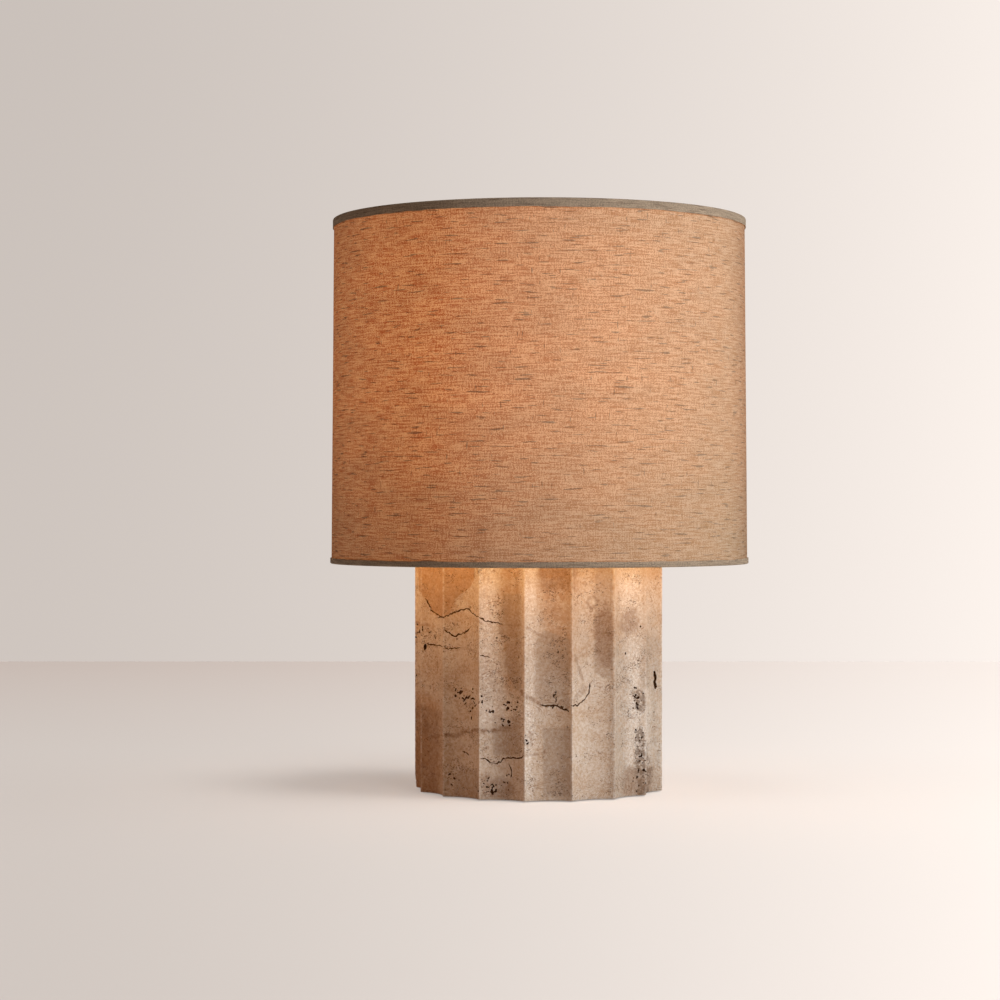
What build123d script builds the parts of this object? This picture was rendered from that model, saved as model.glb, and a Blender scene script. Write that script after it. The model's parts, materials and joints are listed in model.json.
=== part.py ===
from build123d import *
import os
from math import cos, pi, radians, sin

# A column table lamp: a hollow fluted stone column that carries a socket, a harp and a drum shade.
# Millimetres, +Z up, on the lamp's axis. The origin is the centre of the felt's underside.
# The front is -Y, with the switch key, and the cord inlet is at the back, +Y.

# ---- Clearances
MOVING_GAP = 0.3  # between pieces of different bodies that face each other
WIRE_GAP = 0.15  # round a wire or stud that something slides or turns on
LOOSE_GAP = 0.25  # round a pipe, disc or barrel that drops into its hole
GLUE_GAP = 0.05  # between thin walls that are glued or crimped together

# ---- Stone column
COLUMN_HEIGHT = 185.0
ARRIS_RADIUS = 91.0  # axis to the sharp edge between two flutes
FLUTE_COUNT = 17
FLUTE_DEPTH = 5.0  # below the straight line from arris to arris
COLUMN_BEVEL = 0.6
CAVITY_RADIUS = 55.0
COLUMN_ROOF = 36.0  # stone left above the cavity
CHAMBER_RADIUS = 60.0  # the wider space below, for the cord and the nut
CHAMBER_HEIGHT = 36.0

# ---- Felt, plate, washer and nut under the column
FELT_RADIUS = 78.0
FELT_THICKNESS = 2.0
FELT_PROUD = 0.8  # what stands out below the stone
PLATE_THICKNESS = 3.0
WASHER_RADIUS = 13.0
WASHER_THICKNESS = 1.6
NUT_ACROSS_FLATS = 14.3
NUT_HEIGHT = 4.8

# ---- Cord inlet
INLET_HEIGHT = 17.0
INLET_BORE_RADIUS = 3.5
GROMMET_WALL = 2.0
GROMMET_LENGTH = 14.0
GROMMET_FLANGE_RADIUS = 8.5
GROMMET_FLANGE_THICKNESS = 2.0

# ---- Threaded pipe and what it clamps on top of the stone
PIPE_RADIUS = 4.85
PIPE_BORE_RADIUS = 3.4
PIPE_TAIL = 2.5  # pipe past the nut
PIPE_HEAD = 7.0  # pipe inside the socket cap
TOP_CAP_RADIUS = 27.0
TOP_CAP_THICKNESS = 3.0
TOP_CAP_ROUND = 1.2
NECK_RADIUS = 9.0
NECK_WAIST_RADIUS = 7.2
NECK_LENGTH = 24.0

# ---- Harp and its saddle
WIRE_RADIUS = 1.6
SADDLE_THICKNESS = 2.0
SADDLE_HUB_RADIUS = 9.0
SADDLE_EAR_RADIUS = 3.2
SADDLE_RISE = 4.0
SADDLE_PIN = 7.0
LEG_SPACING = 76.0
HARP_HEIGHT = 176.0  # saddle ear to the middle of the wire's crown
HARP_WIDTH = 114.0
HARP_LEG = 44.0  # ear to the lower bend
HARP_HIP = 82.0  # ear to the widest part
HARP_SHOULDER = 132.0  # ear to the upper bend
HARP_CROWN = 52.0  # between the two bends of the crown
SLEEVE_RADIUS = 3.6
SLEEVE_LENGTH = 14.0
POST_BODY_RADIUS = 4.6
POST_BODY_DEPTH = 3.4
POST_FLANGE_RADIUS = 9.0
POST_FLANGE_THICKNESS = 1.5
STUD_RADIUS = 3.1
STUD_LENGTH = 10.5

# ---- Socket
SOCKET_RADIUS = 16.5
SOCKET_CAP_HEIGHT = 19.0
SOCKET_HUB_RADIUS = 8.5
SOCKET_HUB_HEIGHT = 5.0
SOCKET_DOME_HEIGHT = 6.5
SOCKET_WALL = 0.6
SHELL_OVERLAP = 6.0  # shell inside the cap
SHELL_LENGTH = 43.0
SHELL_BEAD = 0.7
CARD_WALL = 0.7
CORE_GAP = 0.5  # cap's dome to the underside of the moulded core
CORE_HEIGHT = 20.0
THREAD_SHELL_WALL = 0.4
THREAD_SHELL_HEIGHT = 22.5
CONTACT_THICKNESS = 0.5
CONTACT_WIDTH = 5.0
CONTACT_LENGTH = 12.0
SCREW_HEAD_RADIUS = 2.6
SCREW_HEAD_HEIGHT = 1.4
SCREW_SHANK_RADIUS = 1.4
SCREW_SHANK_LENGTH = 5.0
SCREW_SLOT = 0.6
SET_SCREW_RADIUS = 1.5
SET_SCREW_LENGTH = 5.5

# ---- Switch key
KEY_HEIGHT = 12.0  # above the core's underside
KEY_SHAFT_RADIUS = 1.6
KEY_SHAFT_LENGTH = 20.0
KEY_SHAFT_START = 6.0  # from the lamp's axis
KNOB_RADIUS = 5.0
KNOB_LENGTH = 12.0
KNOB_STANDOFF = 3.5  # socket shell to knob
KNOB_GRIPS = 12
KNOB_GRIP_RADIUS = 0.7

# ---- Bulb
BULB_CAP_RADIUS = 12.9
BULB_CAP_WALL = 0.4
BULB_CAP_HEIGHT = 23.0
BULB_INSULATOR_HEIGHT = 3.0
BULB_INSULATOR_RADIUS = 10.0
BULB_TIP_RADIUS = 4.5
BULB_TIP_HEIGHT = 1.0
GLOBE_RADIUS = 30.0
GLOBE_CENTRE = 53.0  # bulb cap's rim to the globe's centre
GLOBE_WALL = 0.8
GLOBE_NECK_DEPTH = 6.0  # glass inside the cap
GLOBE_HOLLOW_RADIUS = 45.0  # the hollow curve from neck to globe
STEM_RADIUS = 4.0
STEM_FLARE_HEIGHT = 8.0
STEM_HEIGHT = 34.0
FILAMENT_WIRE_RADIUS = 0.4
FILAMENT_SPAN = 22.0
FILAMENT_HEIGHT = 16.0

# ---- Shade
SHADE_HEIGHT = 250.0
SHADE_RADIUS = 152.0  # outside of the cover at its bottom rim
SHADE_TAPER = 2.0  # how much smaller the radius is at the top rim
COVER_THICKNESS = 0.8
LINER_THICKNESS = 0.5
TRIM_THICKNESS = 0.5
TOP_TRIM_HEIGHT = 6.5
BOTTOM_TRIM_HEIGHT = 4.5
TOP_RING_WIRE = 1.6
BOTTOM_RING_WIRE = 1.2
SPIDER_RECESS = 14.8  # rim of the shade to the top of the spider's washer
SPIDER_WASHER_RADIUS = 11.5
SPIDER_WASHER_THICKNESS = 2.0
SPIDER_WIRE = 1.5
SPIDER_ARMS = 3
SPIDER_BEND_RADIUS = 9.0
SPIDER_DROP_START = 40.0  # from the axis
SPIDER_DROP_END = 20.0

# ---- Finial
FINIAL_HEIGHT = 13.5
FINIAL_RADIUS = 8.0
FINIAL_WAIST_RADIUS = 5.5
FINIAL_FOOT_HEIGHT = 4.0
FINIAL_GRIPS = 24
FINIAL_GRIP_RADIUS = 0.5

# ---- Levels, from the table up
COLUMN_BASE = FELT_PROUD
COLUMN_TOP = COLUMN_BASE + COLUMN_HEIGHT
CHAMBER_TOP = FELT_THICKNESS + CHAMBER_HEIGHT
PLATE_BASE = CHAMBER_TOP - PLATE_THICKNESS
WASHER_BASE = PLATE_BASE - WASHER_THICKNESS
NUT_BASE = WASHER_BASE - NUT_HEIGHT
PIPE_BASE = NUT_BASE - PIPE_TAIL
NECK_BASE = COLUMN_TOP + TOP_CAP_THICKNESS
SADDLE_BASE = NECK_BASE + NECK_LENGTH
SOCKET_BASE = SADDLE_BASE + SADDLE_THICKNESS
PIPE_TOP = SOCKET_BASE + PIPE_HEAD
EAR_TOP = SOCKET_BASE + SADDLE_RISE
CROWN = EAR_TOP + HARP_HEIGHT
FLANGE_BASE = CROWN + WIRE_RADIUS
FLANGE_TOP = FLANGE_BASE + POST_FLANGE_THICKNESS
SPIDER_BASE = FLANGE_TOP + MOVING_GAP
SPIDER_TOP = SPIDER_BASE + SPIDER_WASHER_THICKNESS
SHADE_TOP = SPIDER_TOP + SPIDER_RECESS
SHADE_BASE = SHADE_TOP - SHADE_HEIGHT
CORE_BASE = SOCKET_BASE + SOCKET_HUB_HEIGHT + SOCKET_DOME_HEIGHT + CORE_GAP
CORE_TOP = CORE_BASE + CORE_HEIGHT
SHELL_BASE = SOCKET_BASE + SOCKET_CAP_HEIGHT - SHELL_OVERLAP
KEY_LEVEL = CORE_BASE + KEY_HEIGHT
BULB_BASE = CORE_TOP + CONTACT_THICKNESS + MOVING_GAP
BULB_CAP_BASE = BULB_BASE + BULB_TIP_HEIGHT + BULB_INSULATOR_HEIGHT
BULB_RIM = BULB_CAP_BASE + BULB_CAP_HEIGHT
BULB_CENTRE = BULB_RIM + GLOBE_CENTRE

# ---- Radii that nest inside one another
PIPE_HOLE = PIPE_RADIUS + LOOSE_GAP
THREAD_SHELL_BORE = BULB_CAP_RADIUS + MOVING_GAP
THREAD_SHELL_RADIUS = THREAD_SHELL_BORE + THREAD_SHELL_WALL
CARD_BORE = THREAD_SHELL_RADIUS + GLUE_GAP
SHELL_BORE = CARD_BORE + CARD_WALL + GLUE_GAP
SHELL_RADIUS = SHELL_BORE + SOCKET_WALL
CAP_BORE = SHELL_RADIUS + GLUE_GAP
GROMMET_RADIUS = INLET_BORE_RADIUS + GROMMET_WALL

FLUTE_PITCH = 360.0 / FLUTE_COUNT
FRONT = -90.0  # degrees: an arris faces the front, so a flute is centred at the back
FLUTE_FLOOR = ARRIS_RADIUS * cos(radians(FLUTE_PITCH / 2)) - FLUTE_DEPTH


def on_axis(radius, height):
    """A point of a half section: so far from the lamp's axis, and so high."""
    return Vector(radius, 0, height)


def turned(*corners):
    """A solid turned about the lamp's axis, from the corners (radius, height) of its half section."""
    outline = Polyline(*[on_axis(*corner) for corner in corners], close=True)
    return revolve(make_face(outline), Axis.Z)


def disc(radius, base, height, bore=0.0):
    """A round plate or tube on the lamp's axis."""
    solid = Pos(0, 0, base) * extrude(Circle(radius), height)
    if bore > 0:
        solid -= Pos(0, 0, base) * extrude(Circle(bore), height)
    return solid


def rod(radius, start, end):
    """A round rod from one point to another."""
    start, end = Vector(*start), Vector(*end)
    plane = Plane(origin=start, z_dir=end - start)
    return extrude(plane * Circle(radius), (end - start).length)


def bent_wire(radius, points, bends):
    """A round wire along straight runs joined by bends of the given radii."""
    path = FilletPolyline(*points, radius=bends)
    section = Plane(origin=path @ 0, z_dir=path % 0) * Circle(radius)
    return sweep(section, path=path)


def round_about(solid, angles):
    """Copies of a solid turned about the lamp's axis."""
    return [Rot(0, 0, angle) * solid for angle in angles]


# ---- Stone column, standing on its felt

def fluted_section():
    """The column's plan: hollow arcs that meet in sharp arrises."""
    arcs = []
    for flute in range(FLUTE_COUNT):
        left = radians(FRONT + flute * FLUTE_PITCH)
        middle = left + radians(FLUTE_PITCH / 2)
        right = left + radians(FLUTE_PITCH)
        arcs.append(
            ThreePointArc(
                (ARRIS_RADIUS * cos(left), ARRIS_RADIUS * sin(left)),
                (FLUTE_FLOOR * cos(middle), FLUTE_FLOOR * sin(middle)),
                (ARRIS_RADIUS * cos(right), ARRIS_RADIUS * sin(right)),
            )
        )
    return make_face(arcs)


def make_column():
    shaft = Pos(0, 0, COLUMN_BASE) * extrude(fluted_section(), COLUMN_HEIGHT)
    shaft = chamfer(shaft.faces().filter_by(Axis.Z).edges(), COLUMN_BEVEL)
    shaft -= disc(FELT_RADIUS + MOVING_GAP, COLUMN_BASE, FELT_THICKNESS - FELT_PROUD)
    shaft -= disc(CHAMBER_RADIUS, FELT_THICKNESS, CHAMBER_HEIGHT)
    shaft -= disc(CAVITY_RADIUS, CHAMBER_TOP, COLUMN_TOP - COLUMN_ROOF - CHAMBER_TOP)
    shaft -= disc(PIPE_HOLE, COLUMN_TOP - COLUMN_ROOF, COLUMN_ROOF)
    inner_end = (0, CHAMBER_RADIUS - GROMMET_RADIUS, INLET_HEIGHT)
    shaft -= rod(GROMMET_RADIUS + GLUE_GAP, inner_end, (0, ARRIS_RADIUS, INLET_HEIGHT))
    spot_face = (0, FLUTE_FLOOR - GROMMET_FLANGE_THICKNESS, INLET_HEIGHT)
    shaft -= rod(GROMMET_FLANGE_RADIUS + LOOSE_GAP, spot_face, (0, ARRIS_RADIUS, INLET_HEIGHT))
    return shaft


def make_foot_felt():
    return disc(FELT_RADIUS, 0, FELT_THICKNESS)


def make_base_plate():
    return disc(CHAMBER_RADIUS - LOOSE_GAP, PLATE_BASE, PLATE_THICKNESS, bore=PIPE_HOLE)


def make_base_washer():
    return disc(WASHER_RADIUS, WASHER_BASE, WASHER_THICKNESS, bore=PIPE_HOLE)


def make_base_nut():
    corner_radius = NUT_ACROSS_FLATS / 2 / cos(pi / 6)
    blank = Pos(0, 0, NUT_BASE) * extrude(RegularPolygon(corner_radius, 6), NUT_HEIGHT)
    ease = corner_radius - NUT_ACROSS_FLATS / 2
    rounding = turned(
        (0, NUT_BASE),
        (NUT_ACROSS_FLATS / 2, NUT_BASE),
        (corner_radius, NUT_BASE + ease / 2),
        (corner_radius, NUT_BASE + NUT_HEIGHT - ease / 2),
        (NUT_ACROSS_FLATS / 2, NUT_BASE + NUT_HEIGHT),
        (0, NUT_BASE + NUT_HEIGHT),
    )
    return (blank & rounding) - disc(PIPE_RADIUS, NUT_BASE, NUT_HEIGHT)


def make_cord_grommet():
    """A flanged bush pushed into the wall from outside, its flange let into the flute."""
    seat = FLUTE_FLOOR - GROMMET_FLANGE_THICKNESS
    barrel = rod(GROMMET_RADIUS, (0, FLUTE_FLOOR - GROMMET_LENGTH, INLET_HEIGHT), (0, seat, INLET_HEIGHT))
    flange = rod(GROMMET_FLANGE_RADIUS, (0, seat, INLET_HEIGHT), (0, FLUTE_FLOOR, INLET_HEIGHT))
    rim = flange.faces().sort_by(Axis.Y)[-1].edges()
    flange = fillet(rim, GROMMET_FLANGE_THICKNESS / 2)
    hole = rod(
        INLET_BORE_RADIUS,
        (0, FLUTE_FLOOR - GROMMET_LENGTH, INLET_HEIGHT),
        (0, FLUTE_FLOOR, INLET_HEIGHT),
    )
    return (barrel + flange) - hole


# ---- Pipe, top cap and neck

def make_lamp_pipe():
    return disc(PIPE_RADIUS, PIPE_BASE, PIPE_TOP - PIPE_BASE, bore=PIPE_BORE_RADIUS)


def make_column_cap():
    plate = disc(TOP_CAP_RADIUS, COLUMN_TOP, TOP_CAP_THICKNESS)
    plate = fillet(plate.faces().sort_by(Axis.Z)[-1].edges(), TOP_CAP_ROUND)
    return plate - disc(PIPE_HOLE, COLUMN_TOP, TOP_CAP_THICKNESS)


def make_neck():
    """A turned spacer with a hollow waist."""
    low = on_axis(NECK_RADIUS, NECK_BASE)
    high = on_axis(NECK_RADIUS, SADDLE_BASE)
    waist = on_axis(NECK_WAIST_RADIUS, NECK_BASE + NECK_LENGTH / 2)
    side = ThreePointArc(low, waist, high)
    back = Polyline(high, on_axis(PIPE_HOLE, SADDLE_BASE), on_axis(PIPE_HOLE, NECK_BASE), low)
    return revolve(make_face([side, back]), Axis.Z)


# ---- Harp: saddle, wire, sleeves and stud

def make_harp_saddle():
    """A pressed strip with raised ears and a pin on each for the harp's leg."""
    reach = LEG_SPACING / 2 + SADDLE_EAR_RADIUS
    step_start = SOCKET_HUB_RADIUS + WIRE_RADIUS * 2
    step_end = LEG_SPACING / 2 - SADDLE_EAR_RADIUS
    under = [(0, 0), (step_start, 0), (step_end, SADDLE_RISE), (reach, SADDLE_RISE)]
    right_under = [(x, SADDLE_BASE + z) for x, z in under]
    right_over = [(x, z + SADDLE_THICKNESS) for x, z in reversed(right_under)]
    half = make_face(Plane.XZ * Polyline(*right_under, *right_over, close=True))
    strip = extrude(half, SADDLE_HUB_RADIUS, both=True)
    strip += mirror(strip, Plane.YZ)
    with BuildSketch() as plan:
        Circle(SADDLE_HUB_RADIUS)
        with Locations((LEG_SPACING / 2, 0), (-LEG_SPACING / 2, 0)):
            Circle(SADDLE_EAR_RADIUS)
        make_hull()
    saddle = strip & Pos(0, 0, SADDLE_BASE) * extrude(plan.sketch, SADDLE_RISE + SADDLE_THICKNESS)
    saddle -= disc(PIPE_HOLE, SADDLE_BASE, SADDLE_THICKNESS)
    for x in (-LEG_SPACING / 2, LEG_SPACING / 2):
        saddle += rod(WIRE_RADIUS, (x, 0, EAR_TOP), (x, 0, EAR_TOP + SADDLE_PIN))
    return saddle


def make_harp():
    leg, side, crown = LEG_SPACING / 2, HARP_WIDTH / 2, HARP_CROWN / 2
    right = [
        (leg, 0, EAR_TOP + SADDLE_PIN),
        (leg, 0, EAR_TOP + HARP_LEG),
        (side, 0, EAR_TOP + HARP_HIP),
        (side, 0, EAR_TOP + HARP_SHOULDER),
        (crown, 0, CROWN),
    ]
    left = [(-x, y, z) for x, y, z in right]
    bends = [40, 60, 80, 45]
    return bent_wire(WIRE_RADIUS, left + right[::-1], bends + bends[::-1])


def make_sleeve(side):
    """A ferrule that drops over the joint of pin and leg and locks it."""
    x = side * LEG_SPACING / 2
    base = EAR_TOP + MOVING_GAP
    outside = rod(SLEEVE_RADIUS, (x, 0, base), (x, 0, base + SLEEVE_LENGTH))
    outside = fillet(outside.edges().filter_by(GeomType.CIRCLE), (SLEEVE_RADIUS - WIRE_RADIUS) / 4)
    return outside - rod(WIRE_RADIUS + WIRE_GAP, (x, 0, base), (x, 0, base + SLEEVE_LENGTH))


def make_harp_post(harp):
    """The stud on the harp's crown, pressed round the wire, with the flange that the shade rests on."""
    post = turned(
        (0, CROWN - POST_BODY_DEPTH),
        (POST_BODY_RADIUS, CROWN - POST_BODY_DEPTH),
        (POST_BODY_RADIUS, FLANGE_BASE),
        (POST_FLANGE_RADIUS, FLANGE_BASE),
        (POST_FLANGE_RADIUS, FLANGE_TOP),
        (STUD_RADIUS, FLANGE_TOP),
        (STUD_RADIUS, FLANGE_TOP + STUD_LENGTH),
        (0, FLANGE_TOP + STUD_LENGTH),
    )
    return post - harp


# ---- Socket

def make_socket_cap():
    top = SOCKET_BASE + SOCKET_CAP_HEIGHT
    dome_base = SOCKET_BASE + SOCKET_HUB_HEIGHT
    dome_top = dome_base + SOCKET_DOME_HEIGHT
    shape = turned(
        (PIPE_RADIUS, SOCKET_BASE),
        (SOCKET_HUB_RADIUS, SOCKET_BASE),
        (SOCKET_HUB_RADIUS, dome_base),
        (SOCKET_RADIUS, dome_top),
        (SOCKET_RADIUS, top),
        (CAP_BORE, top),
        (CAP_BORE, dome_top),
        (SOCKET_HUB_RADIUS, dome_base + SOCKET_WALL),
        (PIPE_RADIUS, dome_base + SOCKET_WALL),
    )
    level = SOCKET_BASE + SOCKET_HUB_HEIGHT / 2
    return shape - rod(SET_SCREW_RADIUS, (0, 0, level), (0, SOCKET_RADIUS, level))


def make_set_screw():
    """The screw in the cap's hub that locks it on the pipe."""
    level = SOCKET_BASE + SOCKET_HUB_HEIGHT / 2
    end = PIPE_RADIUS + SET_SCREW_LENGTH
    screw = rod(SET_SCREW_RADIUS, (0, PIPE_RADIUS, level), (0, end, level))
    slot = Pos(0, end, level) * Box(SET_SCREW_RADIUS * 2, SCREW_SLOT * 2, SCREW_SLOT)
    return screw - slot - disc(PIPE_RADIUS, SOCKET_BASE, SOCKET_HUB_HEIGHT)


def key_way(gap):
    """The round way that the switch's shaft takes through the socket's walls."""
    start = (0, gap - KEY_SHAFT_START, KEY_LEVEL)
    return rod(KEY_SHAFT_RADIUS + gap, start, (0, -SOCKET_RADIUS * 2, KEY_LEVEL))


def make_socket_shell():
    """The outer shell, crimped into the cap, with a bead near its mouth and the switch's hole."""
    top = SHELL_BASE + SHELL_LENGTH
    tube = disc(SHELL_RADIUS, SHELL_BASE, SHELL_LENGTH, bore=SHELL_BORE)
    middle = on_axis(SHELL_RADIUS, top - SHELL_BEAD * 4)
    bead = revolve(Plane(origin=middle, z_dir=(0, 1, 0)) * Circle(SHELL_BEAD), Axis.Z)
    bead -= disc(SHELL_BORE + SOCKET_WALL / 2, top - SHELL_BEAD * 6, SHELL_BEAD * 4)
    return tube + bead - key_way(MOVING_GAP * 3)


def make_socket_card():
    """The card tube that insulates the shell from the live parts."""
    length = SHELL_LENGTH - SHELL_OVERLAP
    return disc(CARD_BORE + CARD_WALL, SHELL_BASE, length, bore=CARD_BORE) - key_way(MOVING_GAP * 2)


def make_socket_core():
    """The moulded core that holds the switch, the contact and the thread shell."""
    core = disc(THREAD_SHELL_RADIUS, CORE_BASE, CORE_HEIGHT)
    for side in (-1, 1):
        flat = THREAD_SHELL_RADIUS - SCREW_HEAD_HEIGHT * 1.5
        recess = Box(THREAD_SHELL_RADIUS, THREAD_SHELL_RADIUS * 2, CORE_HEIGHT / 2)
        core -= Pos(side * (flat + THREAD_SHELL_RADIUS / 2), 0, CORE_BASE + CORE_HEIGHT / 4) * recess
        level = CORE_BASE + CORE_HEIGHT / 4
        inner = flat - SCREW_SHANK_LENGTH
        core -= rod(SCREW_SHANK_RADIUS, (side * inner, 0, level), (side * flat, 0, level))
    return core - key_way(MOVING_GAP)


def make_terminal_screws():
    """Two slotted screws that hold the cord's bared ends."""
    level = CORE_BASE + CORE_HEIGHT / 4
    flat = THREAD_SHELL_RADIUS - SCREW_HEAD_HEIGHT * 1.5
    outer = flat + SCREW_HEAD_HEIGHT
    shank = rod(SCREW_SHANK_RADIUS, (flat - SCREW_SHANK_LENGTH, 0, level), (flat, 0, level))
    head = rod(SCREW_HEAD_RADIUS, (flat, 0, level), (outer, 0, level))
    slot = Pos(outer, 0, level) * Box(SCREW_SLOT * 2, SCREW_HEAD_RADIUS * 2, SCREW_SLOT)
    screw = shank + head - slot
    return Compound(children=round_about(screw, (0, 180)))


def make_thread_shell():
    """The metal shell that the bulb screws into."""
    return disc(THREAD_SHELL_RADIUS, CORE_TOP, THREAD_SHELL_HEIGHT, bore=THREAD_SHELL_BORE)


def make_centre_contact():
    """The springy tongue in the bottom of the socket."""
    plan = RectangleRounded(CONTACT_LENGTH, CONTACT_WIDTH, CONTACT_WIDTH / 3)
    return Pos(0, 0, CORE_TOP) * extrude(plan, CONTACT_THICKNESS)


def make_switch_shaft():
    start = (0, -KEY_SHAFT_START, KEY_LEVEL)
    end = (0, -KEY_SHAFT_START - KEY_SHAFT_LENGTH, KEY_LEVEL)
    return rod(KEY_SHAFT_RADIUS, start, end)


def make_switch_knob():
    """A grooved knob on the end of the switch's shaft."""
    near = -SOCKET_RADIUS - KNOB_STANDOFF
    far = near - KNOB_LENGTH
    knob = rod(KNOB_RADIUS, (0, near, KEY_LEVEL), (0, far, KEY_LEVEL))
    knob = fillet(knob.faces().sort_by(Axis.Y)[0].edges(), KNOB_GRIP_RADIUS * 2)
    for grip in range(KNOB_GRIPS):
        angle = radians(grip * 360 / KNOB_GRIPS)
        x, z = KNOB_RADIUS * cos(angle), KEY_LEVEL + KNOB_RADIUS * sin(angle)
        knob -= rod(KNOB_GRIP_RADIUS, (x, near, z), (x, far, z))
    return knob - make_switch_shaft()


# ---- Bulb

def globe_outline(inset):
    """Half of the globe's outline, from its neck to its crown, moved in from the glass's outside."""
    neck = BULB_CAP_RADIUS - BULB_CAP_WALL - inset
    hollow = GLOBE_HOLLOW_RADIUS + inset
    ball = GLOBE_RADIUS - inset
    rise = ((ball + hollow) ** 2 - (neck + hollow) ** 2) ** 0.5
    hollow_level = BULB_CENTRE - rise
    share = ball / (ball + hollow)
    meeting = on_axis((neck + hollow) * share, BULB_CENTRE - rise * share)
    start = on_axis(neck, BULB_RIM - GLOBE_NECK_DEPTH)
    hollow_start = on_axis(neck, hollow_level)
    crown = on_axis(0, BULB_CENTRE + ball)
    return [
        Line(start, hollow_start),
        TangentArc(hollow_start, meeting, tangent=(0, 0, 1)),
        ThreePointArc(meeting, on_axis(ball, BULB_CENTRE), crown),
    ]


def make_bulb_globe():
    outside = globe_outline(0)
    inside = globe_outline(GLOBE_WALL)
    crown = Line(outside[-1] @ 1, inside[-1] @ 1)
    rim = Line(outside[0] @ 0, inside[0] @ 0)
    return revolve(make_face(outside + inside + [crown, rim]), Axis.Z)


def make_bulb_cap():
    """The metal cap, a plain cup here: its rolled thread is a finish."""
    floor = BULB_CAP_BASE + BULB_CAP_WALL
    return turned(
        (BULB_INSULATOR_RADIUS - BULB_CAP_WALL, BULB_CAP_BASE),
        (BULB_INSULATOR_RADIUS, BULB_CAP_BASE),
        (BULB_CAP_RADIUS, BULB_CAP_BASE + BULB_CAP_RADIUS - BULB_INSULATOR_RADIUS),
        (BULB_CAP_RADIUS, BULB_RIM),
        (BULB_CAP_RADIUS - BULB_CAP_WALL, BULB_RIM),
        (BULB_CAP_RADIUS - BULB_CAP_WALL, floor + BULB_CAP_RADIUS - BULB_INSULATOR_RADIUS),
        (BULB_INSULATOR_RADIUS - BULB_CAP_WALL, floor),
    )


def make_bulb_insulator():
    tip_top = BULB_BASE + BULB_TIP_HEIGHT
    return turned(
        (0, tip_top),
        (BULB_TIP_RADIUS, tip_top),
        (BULB_INSULATOR_RADIUS, BULB_CAP_BASE),
        (0, BULB_CAP_BASE),
    )


def make_bulb_tip():
    tip = disc(BULB_TIP_RADIUS, BULB_BASE, BULB_TIP_HEIGHT)
    return fillet(tip.faces().sort_by(Axis.Z)[0].edges(), BULB_TIP_HEIGHT / 2)


def make_bulb_stem():
    """The glass stem, flared where it is sealed into the neck."""
    base = BULB_RIM - GLOBE_NECK_DEPTH
    neck = BULB_CAP_RADIUS - BULB_CAP_WALL - GLOBE_WALL
    return turned(
        (0, base),
        (neck, base),
        (neck, base + GLOBE_WALL),
        (STEM_RADIUS, base + STEM_FLARE_HEIGHT),
        (STEM_RADIUS, base + STEM_HEIGHT),
        (0, base + STEM_HEIGHT),
    )


def make_bulb_filament():
    """The filament and its two posts, one wire bent in a trapezium."""
    base = BULB_RIM - GLOBE_NECK_DEPTH + STEM_HEIGHT + FILAMENT_WIRE_RADIUS
    foot, tip = STEM_RADIUS - FILAMENT_WIRE_RADIUS, FILAMENT_SPAN / 2
    points = [(-foot, 0, base), (-tip, 0, base + FILAMENT_HEIGHT)]
    points += [(tip, 0, base + FILAMENT_HEIGHT), (foot, 0, base)]
    return bent_wire(FILAMENT_WIRE_RADIUS, points, FILAMENT_WIRE_RADIUS * 4)


# ---- Shade

def shade_radius(level, inset):
    """The shade's radius at a level, so far in from the outside of its cover."""
    return SHADE_RADIUS - SHADE_TAPER * (level - SHADE_BASE) / SHADE_HEIGHT - inset


def tapered_wall(inset, thickness, base, top):
    return turned(
        (shade_radius(base, inset), base),
        (shade_radius(top, inset), top),
        (shade_radius(top, inset + thickness), top),
        (shade_radius(base, inset + thickness), base),
    )


WALL_BASE = SHADE_BASE + TRIM_THICKNESS
WALL_TOP = SHADE_TOP - TRIM_THICKNESS
WALL_DEPTH = COVER_THICKNESS + LINER_THICKNESS
TOP_RING_LEVEL = WALL_TOP - TOP_RING_WIRE
TOP_RING_RADIUS = shade_radius(WALL_TOP, WALL_DEPTH + GLUE_GAP) - TOP_RING_WIRE
BOTTOM_RING_LEVEL = WALL_BASE + BOTTOM_RING_WIRE
BOTTOM_RING_RADIUS = shade_radius(BOTTOM_RING_LEVEL, WALL_DEPTH + GLUE_GAP) - BOTTOM_RING_WIRE


def wire_ring(radius, level, wire):
    return Pos(0, 0, level) * Torus(radius, wire)


def make_shade_cover():
    return tapered_wall(0, COVER_THICKNESS, WALL_BASE, WALL_TOP)


def make_shade_liner():
    return tapered_wall(COVER_THICKNESS, LINER_THICKNESS, WALL_BASE, WALL_TOP)


def rim_tape(rim, height, ring_radius, wire):
    """Tape folded over a rim: outside the cover, over the edge and down inside the ring."""
    up = 1 if rim > (SHADE_BASE + SHADE_TOP) / 2 else -1
    fold = rim - up * TRIM_THICKNESS
    edge = rim - up * height
    inner = ring_radius - wire - GLUE_GAP
    return turned(
        (shade_radius(edge, 0), edge),
        (shade_radius(edge, -TRIM_THICKNESS), edge),
        (shade_radius(rim, -TRIM_THICKNESS), rim),
        (inner - TRIM_THICKNESS, rim),
        (inner - TRIM_THICKNESS, edge),
        (inner, edge),
        (inner, fold),
        (shade_radius(fold, 0), fold),
    )


def spider_arm():
    """One arm, from the top ring inward and down to the washer."""
    washer_level = (SPIDER_BASE + SPIDER_TOP) / 2
    points = [
        (TOP_RING_RADIUS, 0, TOP_RING_LEVEL),
        (SPIDER_DROP_START, 0, TOP_RING_LEVEL),
        (SPIDER_DROP_END, 0, washer_level),
        (SPIDER_WASHER_RADIUS - SPIDER_WIRE, 0, washer_level),
    ]
    return bent_wire(SPIDER_WIRE, points, [SPIDER_BEND_RADIUS, SPIDER_BEND_RADIUS])


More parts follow.
